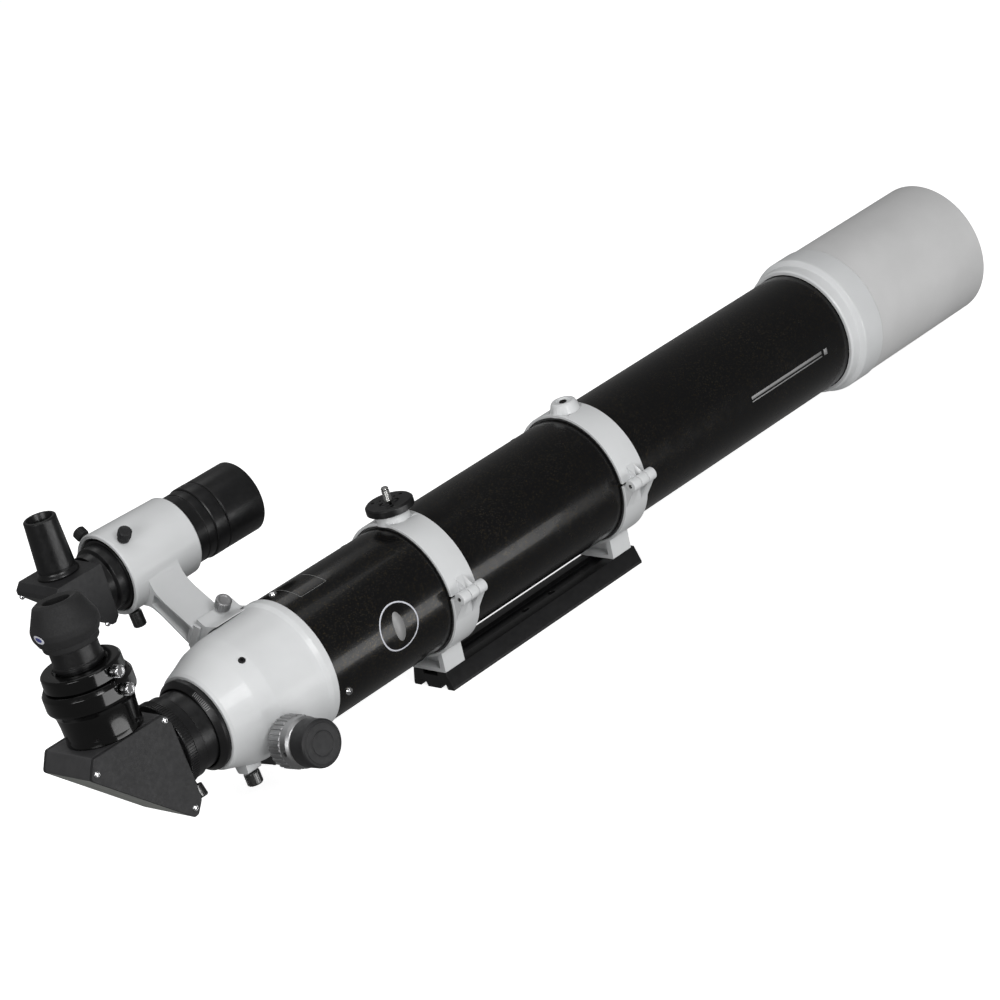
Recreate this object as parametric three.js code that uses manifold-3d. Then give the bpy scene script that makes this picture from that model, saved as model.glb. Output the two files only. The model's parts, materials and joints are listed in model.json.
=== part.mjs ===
// A 100 mm f/9 refracting telescope on hinged tube rings and a dovetail bar.
// Millimetres. +X runs along the optical axis towards the sky, +Z is up.
// The origin is the middle of the dovetail bar's underside.
import * as THREE from "three";
import { mergeVertices } from "three/addons/utils/BufferGeometryUtils.js";
import Module from "manifold-3d";

// ---- driving dimensions ----
const GAP = 0.3; // between touching pieces
const AXIS_HEIGHT = 82.5; // optical axis above the bar's underside
const TUBE_ROLL = -6.5; // degrees: how the tube is turned in its rings
const DIAGONAL_ROLL = -2.2; // degrees: how the star diagonal is turned in the drawtube

const TUBE_RADIUS = 50.8;
const TUBE_WALL = 1.5;
const TUBE_REAR = -223.7;
const TUBE_FRONT = 368;

const RING_OUTER = 54.9;
const RING_INNER = 52.7;
const RING_WIDTH = 25;
const RING_SPLIT = 1.3; // half the gap between the ring halves
const HINGE_OFFSET = 62.6; // hinge pin from the optical axis
const KNUCKLE_RADIUS = 5;
const CLAMP_OFFSET = 64; // clamp screw from the optical axis
const RINGS = { rear: -96, front: 92 }; // middle of each ring along X

const BAR_LENGTH = 212.4;
const BAR_HEIGHT = 14.5;
const BAR_TOP_HALF = 18;
const BAR_BOTTOM_HALF = 22;

const CELL_REAR = 359;
const SHIELD_REAR = 394.5;
const SHIELD_FRONT = 535.2;
const SHIELD_RADIUS = 58.1;

const FOCUSER_FRONT = -224;
const FOCUSER_REAR = -312.7;
const DRAWTUBE_FRONT = -207;
const DRAWTUBE_REAR = -331.7;
const DRAWTUBE_RADIUS = 30;
const TWO_INCH_BORE = 25.8;
const TWO_INCH_BARREL = 25.4;
const SHAFT_X = -278.7; // focus shaft
const SHAFT_DROP = 30.6; // below the optical axis
const SHAFT_RADIUS = 3.2;
const LOCK_X = -287.5; // focus lock screw

const DIAGONAL_X = -384; // where the star diagonal turns the light upwards
const DIAGONAL_HALF_WIDTH = 29;
const PLATE_THICKNESS = 3;

const FINDER_DISTANCE = 137.5; // finder axis from the main optical axis
const FINDER_SIDE = 45; // degrees from the tube's own top, towards the left
const FINDER_TUBE_RADIUS = 26;
const FINDER_TILT_X = -214.5; // where the finder tube pivots in its bracket
const FINDER_SCREWS_X = -266.7;
const FINDER_EYE_X = -313.7; // where the finder turns the light upwards

const ROUND = { large: 40, medium: 24, small: 14, tiny: 8 }; // sides of a turned piece

// ---- materials ----
const finish = (color, roughness, metalness) =>
  new THREE.MeshStandardMaterial({ color, roughness, metalness });
const whitePaint = finish(0xe4e6e6, 0.35, 0);
const shieldPaint = finish(0xd6d6d6, 0.55, 0);
const blackPaint = finish(0x0b0b0d, 0.18, 0);
const anodised = finish(0x1b1b1d, 0.45, 0.6);
const glossBlack = finish(0x070708, 0.08, 0.3);
const satinSteel = finish(0xb9bcc0, 0.32, 0.9);
const chrome = finish(0xd8dadc, 0.12, 1);
const steel = finish(0x9a9c9e, 0.3, 1);
const opticalGlass = finish(0xcfe0e4, 0.02, 0);
const mirrorCoat = finish(0xe8ecee, 0.03, 1);
const rubber = finish(0x161617, 0.9, 0);
const felt = finish(0x111112, 1, 0);
const flatBlack = finish(0x0a0a0a, 0.95, 0);

// ---- joining and cutting ----
const wasm = await Module();
wasm.setup();

function toSolid(geometry) {
  const bare = geometry.clone();
  bare.deleteAttribute("normal");
  bare.deleteAttribute("uv");
  const merged = mergeVertices(bare, 1e-4);
  const vertProperties = new Float32Array(merged.attributes.position.array);
  const triVerts = new Uint32Array(merged.index.array);
  const solid = new wasm.Manifold(new wasm.Mesh({ numProp: 3, vertProperties, triVerts }));
  if (solid.volume() >= 0) return solid;
  return new wasm.Manifold(new wasm.Mesh({ numProp: 3, vertProperties, triVerts: triVerts.reverse() }));
}

function toGeometry(solid) {
  const mesh = solid.getMesh();
  const geometry = new THREE.BufferGeometry();
  geometry.setAttribute("position", new THREE.BufferAttribute(mesh.vertProperties, 3));
  geometry.setIndex(new THREE.BufferAttribute(mesh.triVerts, 1));
  geometry.computeVertexNormals();
  return geometry;
}

const join = (...pieces) => toGeometry(pieces.map(toSolid).reduce((a, b) => a.add(b)));
const cut = (piece, ...holes) =>
  toGeometry(holes.map(toSolid).reduce((a, b) => a.subtract(b), toSolid(piece)));
const common = (a, b) => toGeometry(toSolid(a).intersect(toSolid(b)));

// ---- shapes ----
const radians = THREE.MathUtils.degToRad;

// Turns a geometry that stands along Y so that it lies along the named axis.
function along(axis, geometry) {
  if (axis === "x") return geometry.rotateZ(-Math.PI / 2);
  if (axis === "z") return geometry.rotateX(Math.PI / 2);
  return geometry;
}

function box([x0, x1], [y0, y1], [z0, z1]) {
  const block = new THREE.BoxGeometry(x1 - x0, y1 - y0, z1 - z0);
  return block.translate((x0 + x1) / 2, (y0 + y1) / 2, (z0 + z1) / 2);
}

// A cylinder round the named axis, from one place on that axis to another.
function rod(axis, radius, from, to, sides = ROUND.small) {
  const cylinder = new THREE.CylinderGeometry(radius, radius, to - from, sides);
  return along(axis, cylinder.translate(0, (from + to) / 2, 0));
}

// A piece turned round the named axis: its outline is a list of [place on axis, radius].
// An outline that doesn't start and end on the axis is closed on itself.
function turned(axis, outline, sides = ROUND.medium) {
  const points = outline.map(([place, radius]) => new THREE.Vector2(radius, place));
  if (points[0].x > 0) points.push(points[0].clone());
  return along(axis, new THREE.LatheGeometry(points, sides));
}

const tube = (axis, outer, inner, from, to, sides) =>
  turned(axis, [[from, inner], [from, outer], [to, outer], [to, inner]], sides);

// A flat outline in X and Z, given depth along Y.
function slab(outline, y0, y1) {
  const shape = new THREE.Shape(outline.map(([x, z]) => new THREE.Vector2(x, z)));
  const plate = new THREE.ExtrudeGeometry(shape, { depth: y1 - y0, bevelEnabled: false });
  return plate.rotateX(Math.PI / 2).translate(0, y1, 0);
}

// A flat outline in Y and Z, given length along X.
function bar(outline, x0, x1) {
  const shape = new THREE.Shape(outline.map(([y, z]) => new THREE.Vector2(y, z)));
  const beam = new THREE.ExtrudeGeometry(shape, { depth: x1 - x0, bevelEnabled: false });
  return beam.rotateZ(Math.PI / 2).rotateY(Math.PI / 2).translate(x0, 0, 0);
}

// A round grip with ridges, standing along Z.
function ridged(radius, depth, ridges, from, to) {
  const shape = new THREE.Shape();
  const corners = [0, 0.5, 0.55, 0.95]; // where a ridge and the groove after it begin and end
  for (let i = 0; i < ridges; i++) {
    corners.forEach((step, corner) => {
      const angle = ((i + step) / ridges) * 2 * Math.PI;
      const reach = corner < 2 ? radius : radius - depth;
      const place = [reach * Math.cos(angle), reach * Math.sin(angle)];
      if (i === 0 && corner === 0) shape.moveTo(...place);
      else shape.lineTo(...place);
    });
  }
  shape.closePath();
  const grip = new THREE.ExtrudeGeometry(shape, { depth: to - from, bevelEnabled: false });
  return grip.translate(0, 0, from);
}

// A convex lens between two spherical faces round the X axis.
function lens(radius, rear, rearBulge, front, frontBulge) {
  const steps = 3;
  const outline = [];
  for (let i = 0; i <= steps; i++) {
    const share = i / steps;
    outline.push([rear - rearBulge * (1 - share * share), radius * share]);
  }
  for (let i = steps; i >= 0; i--) {
    const share = i / steps;
    outline.push([front + frontBulge * (1 - share * share), radius * share]);
  }
  return turned("x", outline, ROUND.medium);
}

// ---- the scene graph ----
const telescope = new THREE.Group();
const axisFrame = new THREE.Group(); // on the optical axis, level
axisFrame.position.z = AXIS_HEIGHT;
telescope.add(axisFrame);

const tubeFrame = new THREE.Group(); // turned with the tube
tubeFrame.rotation.x = radians(TUBE_ROLL);
axisFrame.add(tubeFrame);

function add(parent, name, geometry, material) {
  const mesh = new THREE.Mesh(toGeometry(toSolid(geometry)), material); // its faces turned outwards
  mesh.name = name;
  parent.add(mesh);
  return mesh;
}

function subFrame(parent, { x = 0, y = 0, z = 0 }, roll = 0) {
  const frame = new THREE.Group();
  frame.position.set(x, y, z);
  frame.rotation.x = radians(roll);
  parent.add(frame);
  return frame;
}

// A thumb screw standing along Z: its tip, the underside of its head and the head's top.
function thumbScrew({ tip, head, top, shank, radius }) {
  return join(rod("z", shank, tip, head + 0.5, ROUND.tiny), ridged(radius, 0.5, 8, head, top));
}

// ---- dovetail bar ----
const RECESS_HEIGHT = 5.5; // of the two recesses under the bar, beside its middle rib
const CHANNEL_FLOOR = 11;
const CHANNEL_HALF = 8;
const SCREW_PITS = [-1.5, 28]; // two pits in the channel floor, along X

function dovetailBar() {
  const half = [
    [CHANNEL_HALF, CHANNEL_FLOOR], [CHANNEL_HALF, BAR_HEIGHT], [BAR_TOP_HALF, BAR_HEIGHT],
    [BAR_BOTTOM_HALF, 2], [BAR_BOTTOM_HALF, 0], [BAR_BOTTOM_HALF - 7, 0],
    [BAR_BOTTOM_HALF - 8, RECESS_HEIGHT], [8.5, RECESS_HEIGHT], [7, 0],
  ];
  const mirrored = half.map(([y, z]) => [-y, z]).reverse();
  const body = bar([...half, ...mirrored], -BAR_LENGTH / 2, BAR_LENGTH / 2);
  const pits = SCREW_PITS.map((x) => rod("z", 3, 4, 20, ROUND.tiny).translate(x, 0, 0));
  return cut(body, ...pits);
}
add(telescope, "dovetail_bar", dovetailBar(), anodised);

// ---- tube rings ----
const HALF_RING = RING_WIDTH / 2;
const KNUCKLE_HALF = 4; // half the middle knuckle's length
const PIN_RADIUS = 1.7;
const LUG_END = 72;
const LUG_HEIGHT = 9;

function ringBand() {
  return tube("x", RING_OUTER, RING_INNER, -HALF_RING, HALF_RING, ROUND.large);
}

function knuckle(x0, x1, direction) {
  const leaf = box([x0, x1], [-HINGE_OFFSET, -RING_INNER - 0.6], direction > 0 ? [0, 10] : [-10, 0]);
  const barrel = rod("x", KNUCKLE_RADIUS, x0, x1).translate(0, -HINGE_OFFSET, 0);
  return [leaf, barrel];
}

const pinHole = () => rod("x", PIN_RADIUS + 0.1, -20, 20).translate(0, -HINGE_OFFSET, 0);
const clampHole = (radius) => rod("z", radius, -20, 20).translate(0, CLAMP_OFFSET, 0);

function upperRing(boss) {
  const half = common(ringBand(), box([-20, 20], [-80, 80], [RING_SPLIT, 80]));
  const lug = box([-7, 7], [RING_INNER + 0.6, LUG_END], [RING_SPLIT, LUG_HEIGHT]);
  const whole = join(half, lug, ...knuckle(-KNUCKLE_HALF, KNUCKLE_HALF, 1), boss);
  return cut(whole, pinHole(), clampHole(3), rod("x", RING_INNER, -20, 20, ROUND.large));
}

function lowerRing() {
  const half = common(ringBand(), box([-20, 20], [-80, 80], [-80, -RING_SPLIT]));
  const lug = box([-7, 7], [RING_INNER + 0.6, LUG_END], [-LUG_HEIGHT, -RING_SPLIT]);
  const outer = KNUCKLE_HALF + GAP;
  const foot = box([-HALF_RING + 2, HALF_RING - 2], [-19, 19], [-AXIS_HEIGHT + BAR_HEIGHT + GAP, -50]);
  const knuckles = [...knuckle(-HALF_RING, -outer, -1), ...knuckle(outer, HALF_RING, -1)];
  const whole = join(half, lug, foot, ...knuckles);
  return cut(whole, pinHole(), clampHole(3.4), rod("x", RING_INNER, -20, 20, ROUND.large));
}

const studBossOutline = [[52, 0], [52, 13], [57, 12], [60.2, 10.5], [60.2, 0]];
const plainBossOutline = [
  [52, 0], [52, 12.3], [60.5, 9.8], [61.8, 8.6], [61.8, 6.6], [60.6, 6.3], [60.6, 0],
];
const studBoss = () => cut(turned("z", studBossOutline), rod("z", 3.4, 40, 80));
const plainBoss = () => cut(turned("z", plainBossOutline), rod("z", 3, 56, 80, ROUND.tiny));

function feltStrip(direction) {
  const inset = 0.5; // from the ring's own edges
  const reach = HALF_RING - inset;
  const lining = tube("x", RING_INNER - GAP, TUBE_RADIUS + GAP, -reach, reach, ROUND.large);
  const half = direction > 0 ? [RING_SPLIT + inset, 80] : [-80, -RING_SPLIT - inset];
  return common(lining, box([-20, 20], [-80, 80], half));
}

for (const [place, x] of Object.entries(RINGS)) {
  const frame = subFrame(axisFrame, { x });
  const boss = place === "rear" ? studBoss() : plainBoss();
  add(frame, `ring_${place}_upper`, upperRing(boss), whitePaint);
  add(frame, `ring_${place}_lower`, lowerRing(), whitePaint);
  add(frame, `felt_${place}_upper`, feltStrip(1), felt);
  add(frame, `felt_${place}_lower`, feltStrip(-1), felt);
  const pin = rod("x", PIN_RADIUS, -HALF_RING + 0.4, HALF_RING - 0.4).translate(0, -HINGE_OFFSET, 0);
  add(frame, `ring_${place}_hinge_pin`, pin, steel);
  const clamp = { tip: -LUG_HEIGHT + 1, head: LUG_HEIGHT + GAP, top: 23, shank: 2.5, radius: 8 };
  const screw = thumbScrew(clamp);
  add(frame, `ring_${place}_clamp_screw`, screw.translate(0, CLAMP_OFFSET, 0), anodised);
}

// The threaded camera stud on the rear ring, and the smooth disc that locks a camera on it.
const studFrame = subFrame(axisFrame, { x: RINGS.rear });
const stud = turned("z", [[55, 0], [55, 3.1], [77.6, 3.1], [78.8, 2.2], [78.8, 0]], ROUND.small);
add(studFrame, "camera_stud", stud, steel);
const discBody = turned("z", [
  [60.7, 0], [60.7, 17.3], [61.6, 18.3], [66.5, 18.3], [67.5, 17], [67.5, 8], [68.6, 7.6], [68.6, 0],
]);
const DISC_PITS = 3;
const discPits = Array.from({ length: DISC_PITS }, (_, i) =>
  rod("z", 1.4, 65, 70, ROUND.tiny).translate(12.5, 0, 0).rotateZ(radians((i * 360) / DISC_PITS)));
add(studFrame, "camera_lock_disc", cut(discBody, rod("z", 3.5, 50, 80), ...discPits), anodised);

// ---- main tube ----
const mainTube = tube("x", TUBE_RADIUS, TUBE_RADIUS - TUBE_WALL, TUBE_REAR, TUBE_FRONT, ROUND.large);
add(tubeFrame, "main_tube", mainTube, blackPaint);
const baffle = turned("x", [[139, 49], [139, 36], [140.5, 36], [140.5, 47.5], [148, 47.5], [148, 49]]);
add(tubeFrame, "tube_baffle", baffle, flatBlack);

// ---- objective: cell, two lenses, spacer, retaining ring, dew shield ----
const LENS_RADIUS = 50.6;
const cellOutline = [
  [CELL_REAR, TUBE_RADIUS + GAP], [CELL_REAR, 54.6], [CELL_REAR + 9, 55], [CELL_REAR + 13, 59],
  [SHIELD_REAR - GAP, 59], [SHIELD_REAR - GAP, 55.6], [SHIELD_REAR + 18, 55.6], [SHIELD_REAR + 18, 51],
  [TUBE_FRONT + 4, 51], [TUBE_FRONT + 4, 48.6], [TUBE_FRONT + GAP, 48.6],
  [TUBE_FRONT + GAP, TUBE_RADIUS + GAP],
];
add(tubeFrame, "objective_cell", turned("x", cellOutline, ROUND.large), whitePaint);
add(tubeFrame, "objective_rear_lens", lens(LENS_RADIUS, 373.2, 0.8, 380.2, -1.6), opticalGlass);
add(tubeFrame, "objective_spacer", tube("x", LENS_RADIUS, 48.6, 380.5, 381.3), flatBlack);
add(tubeFrame, "objective_front_lens", lens(LENS_RADIUS, 383.6, 1.9, 391, 1.8), opticalGlass);
add(tubeFrame, "objective_retaining_ring", tube("x", LENS_RADIUS, 48.6, 391.4, 396), flatBlack);
const dewShield = tube("x", SHIELD_RADIUS, 56, SHIELD_REAR, SHIELD_FRONT, ROUND.large);
add(tubeFrame, "dew_shield", dewShield, shieldPaint);

// ---- focuser ----
const BODY_BORE = 31;
const BLOCK_REAR = -280.8;
const BLOCK_FRONT = -257;
const BLOCK_HALF = 22;
const SIDE_SCREW_ANGLE = 45; // of the small screw in the focuser's upper right side

function focuserBody() {
  const outline = [
    [FOCUSER_FRONT + 16, 45], [FOCUSER_FRONT + 16, 48.9], [FOCUSER_FRONT, 48.9], [FOCUSER_FRONT, 51.8],
    [-230.5, 51.8], [-235, 49.8], [-282, 48], [-296, 43.9], [-310.5, 38.4], [FOCUSER_REAR, 36.8],
    [FOCUSER_REAR, BODY_BORE], [-297, BODY_BORE], [-297, 41.5], [-240, 41.5], [-236, 45],
  ];
  const shell = turned("x", outline, ROUND.large);
  const lockBoss = box([LOCK_X - 6, -281.2], [-6.5, 6.5], [-51, -40.5]);
  const seatHalf = BLOCK_HALF + GAP;
  const blockSeat = box([BLOCK_REAR - GAP, BLOCK_FRONT + GAP], [-seatHalf, seatHalf], [-60, -40 + GAP]);
  const shaftHole = rod("y", SHAFT_RADIUS + 0.5, -60, 60).translate(SHAFT_X, 0, -SHAFT_DROP);
  const lockHole = rod("z", 3, -60, -35, ROUND.tiny).translate(LOCK_X, 0, 0);
  const sideScrewHole = rod("z", 2.6, 45, 60, ROUND.tiny).rotateX(radians(SIDE_SCREW_ANGLE))
    .translate(SHAFT_X - 2, 0, 0);
  return cut(join(shell, lockBoss), blockSeat, shaftHole, lockHole, sideScrewHole);
}
add(tubeFrame, "focuser_body", focuserBody(), whitePaint);

const COLLAR_REAR = -320.7;
const COLLAR_RADIUS = 35.3;
const collar = tube("x", COLLAR_RADIUS, BODY_BORE, COLLAR_REAR, FOCUSER_REAR - GAP, ROUND.large);
add(tubeFrame, "focuser_collar", collar, anodised);

function pressureBlock() {
  const plate = box([BLOCK_REAR, BLOCK_FRONT], [-BLOCK_HALF, BLOCK_HALF], [-50, -40]);
  const pad = box([SHAFT_X + 5, SHAFT_X + 15], [-9, 9], [-41, -34.5]);
  return join(plate, pad);
}
add(tubeFrame, "focuser_pressure_block", pressureBlock(), anodised);

const FLAT_DEPTH = SHAFT_DROP - SHAFT_RADIUS - GAP; // flat under the drawtube, where the shaft bears
const drawtubePipe = tube(
  "x", DRAWTUBE_RADIUS, TWO_INCH_BORE, DRAWTUBE_REAR, DRAWTUBE_FRONT, ROUND.large);
const FLAT_REAR = -318;
const drawtubeFlat = box([FLAT_REAR, DRAWTUBE_FRONT + 5], [-40, 40], [-40, -FLAT_DEPTH]);
add(tubeFrame, "drawtube", cut(drawtubePipe, drawtubeFlat), anodised);

// Focus shaft and knobs: the right-hand side is -Y.
const shaftFrame = subFrame(tubeFrame, { x: SHAFT_X, z: -SHAFT_DROP });
const KNOB_NEAR = 47.4;
const KNOB_SEAM = 69.4; // where the right coarse knob ends and the fine knob follows
const FINE_INNER = KNOB_SEAM + 0.4;
const FINE_OUTER = 86;
add(shaftFrame, "focus_shaft", rod("y", SHAFT_RADIUS, -KNOB_SEAM, 64), steel);

const KNOB_GRIP = 13; // length of the ridged part of a coarse knob
const coarseKnob = (outer) => join(
  ridged(19.2, 0.9, 20, KNOB_NEAR, KNOB_NEAR + KNOB_GRIP),
  rod("z", 18.2, KNOB_NEAR + KNOB_GRIP - 1, outer, ROUND.medium));
const shaftBore = () => rod("z", SHAFT_RADIUS + 0.1, 40, 100);
const rightward = (geometry) => geometry.rotateX(Math.PI / 2);
const leftward = (geometry) => geometry.rotateX(-Math.PI / 2);
add(shaftFrame, "coarse_knob_right", rightward(cut(coarseKnob(KNOB_SEAM), shaftBore())), satinSteel);
add(shaftFrame, "coarse_knob_left", leftward(cut(coarseKnob(66), shaftBore())), satinSteel);
const fineOutline = [
  [FINE_INNER, 0], [FINE_INNER, 17.3], [FINE_OUTER - 1.5, 17.3], [FINE_OUTER, 15.5], [FINE_OUTER, 0],
];
add(shaftFrame, "fine_knob", rightward(turned("z", fineOutline)), anodised);

const lockFrame = subFrame(tubeFrame, { x: LOCK_X }, 180);
const lockScrew = thumbScrew({ tip: FLAT_DEPTH + 0.5, head: 52, top: 62, shank: 2.5, radius: 6 });
add(lockFrame, "focus_lock_screw", lockScrew, satinSteel);

// ---- two-inch adapter at the drawtube's end ----
const ADAPTER_FRONT = DRAWTUBE_REAR - GAP;
const ADAPTER_REAR = -347.7;
const ADAPTER_SCREW_X = -341;
const lengthwise = (geometry) => geometry.rotateY(Math.PI / 2); // from standing along Z to lying along X
const ADAPTER_SCREW_ANGLE = 160; // of its thumb screw, from the top towards the right
const ADAPTER_GRIP_FRONT = -340;
const adapterBody = join(
  lengthwise(ridged(32.6, 0.6, 30, ADAPTER_REAR, ADAPTER_GRIP_FRONT)),
  rod("x", 31.4, ADAPTER_GRIP_FRONT - 1, ADAPTER_FRONT, ROUND.large));
const adapterBore = rod("x", TWO_INCH_BORE, -360, -320, ROUND.large);
const adapterHole = rod("z", 2.4, 20, 50, ROUND.tiny).rotateX(radians(ADAPTER_SCREW_ANGLE))
  .translate(ADAPTER_SCREW_X, 0, 0);
add(tubeFrame, "two_inch_adapter", cut(adapterBody, adapterBore, adapterHole), anodised);
const adapterScrewFrame = subFrame(tubeFrame, { x: ADAPTER_SCREW_X }, ADAPTER_SCREW_ANGLE);
add(adapterScrewFrame, "adapter_thumb_screw",
  thumbScrew({ tip: 26.2, head: 35, top: 45, shank: 2, radius: 5 }), satinSteel);

// ---- star diagonal: outline in X and Z from the point where the axes cross ----
const diagonalFrame = subFrame(axisFrame, { x: DIAGONAL_X }, DIAGONAL_ROLL);
const HOUSING_TOP = 32.5;
const diagonalOutline = [
  [29.5, HOUSING_TOP], [34, 24], [36, -22.9], [35.7, -36.9], [29.3, -45.2], [25.5, -45.7],
  [-40.2, 19.3], [-32.8, HOUSING_TOP],
];
const diagonalHollow = [[31, 29], [31, -40], [25.5, -40], [-34, 19.3], [-30, 29]];
const CORE_HALF = DIAGONAL_HALF_WIDTH - PLATE_THICKNESS - GAP;

const HOLDER_SPIGOT = 24; // radius of the holder's foot in the housing

function diagonalHousing() {
  const core = cut(slab(diagonalOutline, -CORE_HALF, CORE_HALF), slab(diagonalHollow, -40, 40));
  const barrelBore = rod("x", TWO_INCH_BORE, 20, 50, ROUND.medium);
  const holderBore = rod("z", HOLDER_SPIGOT + GAP, 20, 50, ROUND.medium);
  return cut(core, barrelBore, holderBore);
}
add(diagonalFrame, "diagonal_housing", diagonalHousing(), anodised);
const rightPlate = slab(diagonalOutline, -DIAGONAL_HALF_WIDTH, -CORE_HALF - GAP);
const leftPlate = slab(diagonalOutline, CORE_HALF + GAP, DIAGONAL_HALF_WIDTH);
add(diagonalFrame, "diagonal_plate_right", rightPlate, anodised);
add(diagonalFrame, "diagonal_plate_left", leftPlate, anodised);
const mirror = box([-28, 28], [-22, 22], [-9.8, -0.4]).rotateY(radians(45));
add(diagonalFrame, "diagonal_mirror", mirror, mirrorCoat);
add(diagonalFrame, "diagonal_barrel", tube("x", TWO_INCH_BARREL, 23.2, 31.8, 82, ROUND.large), chrome);

// Eyepiece holder on top of the diagonal, then the 1.25-inch adapter in it.
const HOLDER_SHOULDER = HOUSING_TOP + GAP;
const holderOutline = [
  [27, 21.5], [27, HOLDER_SPIGOT], [HOLDER_SHOULDER, HOLDER_SPIGOT], [HOLDER_SHOULDER, 27.4],
  [54.5, 28.4], [60, 32.3], [70.3, 32.3], [73.4, 30.6], [73.4, TWO_INCH_BORE], [38, TWO_INCH_BORE],
  [38, 21.5],
];
const SCREW_BEARINGS = { front: 10, rear: 190 }; // degrees of each holder screw from the right-hand side
// Points a screw that stands along Z away from the vertical axis, at a bearing from -Y towards +X.
const outward = (geometry, bearing) => geometry.rotateX(Math.PI / 2).rotateZ(radians(bearing));
const HOLDER_SCREW_Z = 66;
const holderHoles = Object.values(SCREW_BEARINGS).map((bearing) =>
  outward(rod("z", 2.4, 20, 50, ROUND.tiny), bearing).translate(0, 0, HOLDER_SCREW_Z));
add(diagonalFrame, "eyepiece_holder", cut(turned("z", holderOutline), ...holderHoles), glossBlack);
for (const [place, bearing] of Object.entries(SCREW_BEARINGS)) {
  const screw = outward(thumbScrew({ tip: 25.9, head: 33.6, top: 40.5, shank: 2, radius: 4.6 }), bearing);
  add(diagonalFrame, `holder_screw_${place}`, screw.translate(0, 0, HOLDER_SCREW_Z), chrome);
}

const EYEPIECE_BORE = 16;
const ADAPTER_125_SCREW_Z = 79.4;
const adapter125Outline = [
  [46, EYEPIECE_BORE], [46, TWO_INCH_BARREL], [73.7, TWO_INCH_BARREL], [73.7, 28.6], [85, 28.6],
  [85, EYEPIECE_BORE],
];
const adapter125Hole = outward(rod("z", 2.4, 10, 40, ROUND.tiny), SCREW_BEARINGS.front)
  .translate(0, 0, ADAPTER_125_SCREW_Z);
add(diagonalFrame, "eyepiece_adapter", cut(turned("z", adapter125Outline), adapter125Hole), glossBlack);
const adapter125Screw = thumbScrew({ tip: 16.3, head: 30, top: 37, shank: 2, radius: 4.6 });
add(diagonalFrame, "eyepiece_adapter_screw",
  outward(adapter125Screw, SCREW_BEARINGS.front).translate(0, 0, ADAPTER_125_SCREW_Z), chrome);

// Eyepiece: a body with its barrel, an eye lens and a rubber eyecup.
const eyepieceOutline = [
  [52, 13], [52, 15.7], [85.3, 15.7], [85.3, 17.4], [124, 17.4], [124, 12.4], [119, 11.4], [119, 9],
  [60, 9],
];
add(diagonalFrame, "eyepiece_body", turned("z", eyepieceOutline), anodised);
const eyeLens = turned("z", [[119.4, 0], [119.4, 11], [121.6, 11], [122.8, 6], [123.1, 0]], ROUND.small);
add(diagonalFrame, "eye_lens", eyeLens, opticalGlass);
const eyecupOutline = [
  [101, 17.7], [101, 20], [105.4, 20.4], [106.6, 22], [112, 24.2], [117, 24.3], [132.4, 17.4],
  [134.2, 14.4], [133, 10], [124.5, 13.2], [124.5, 17.7],
];

// The eyecup's mouth leans: above one height it is lifted on the side of one bearing.
const LEAN_FROM = 125;
const LEAN_OVER = 7; // height in which the lean grows to its full slope
const LEAN_SLOPE = 0.1;
const LEAN_BEARING = 236; // degrees from +X towards +Y

function leaning(geometry) {
  const towards = radians(LEAN_BEARING);
  const places = geometry.attributes.position;
  for (let i = 0; i < places.count; i++) {
    const height = places.getZ(i);
    const share = THREE.MathUtils.clamp((height - LEAN_FROM) / LEAN_OVER, 0, 1);
    const reach = places.getX(i) * Math.cos(towards) + places.getY(i) * Math.sin(towards);
    places.setZ(i, height + LEAN_SLOPE * share * reach);
  }
  return geometry;
}
add(diagonalFrame, "eyecup", leaning(turned("z", eyecupOutline)), rubber);

// ---- finder shoe, on the left of the focuser; its own Z points away from the optical axis ----
const shoeFrame = subFrame(tubeFrame, {}, -FINDER_SIDE);
const SHOE_SPAN = [-262, -228];
const FOOT_SPAN = [-264, -227];
const SHOE_SCREW_X = -241;
const shoeProfile = [
  [-17, 46], [17, 46], [17, 60.5], [12.2, 60.5], [14.2, 54.3], [-14.2, 54.3], [-12.2, 60.5], [-17, 60.5],
];
const shoeScrewHole = () => rod("y", 2.4, -40, -10, ROUND.tiny).translate(SHOE_SCREW_X, 0, 57.2);
const focuserOutside = () =>
  join(rod("x", 50.2, -300, -200, ROUND.large), rod("x", 52.3, -236, -200, ROUND.large));
const finderShoe = cut(bar(shoeProfile, ...SHOE_SPAN), focuserOutside(), shoeScrewHole());
add(shoeFrame, "finder_shoe", finderShoe, whitePaint);
const shoeScrew = thumbScrew({ tip: 13.6, head: 19.5, top: 28, shank: 2, radius: 6 });
add(shoeFrame, "finder_shoe_screw", rightward(shoeScrew).translate(SHOE_SCREW_X, 0, 57.2), satinSteel);

// Bracket: a dovetail foot, a channelled stem and the ring round the finder.
const BRACKET_SPAN = [-276.7, -211.7];
const BRACKET_BORE = 29;
const SCREW_ANGLES = { left: -45, right: 45 }; // of the finder's adjusting screws, from the bracket's top
const PLUNGER_ANGLE = 180;

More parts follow.
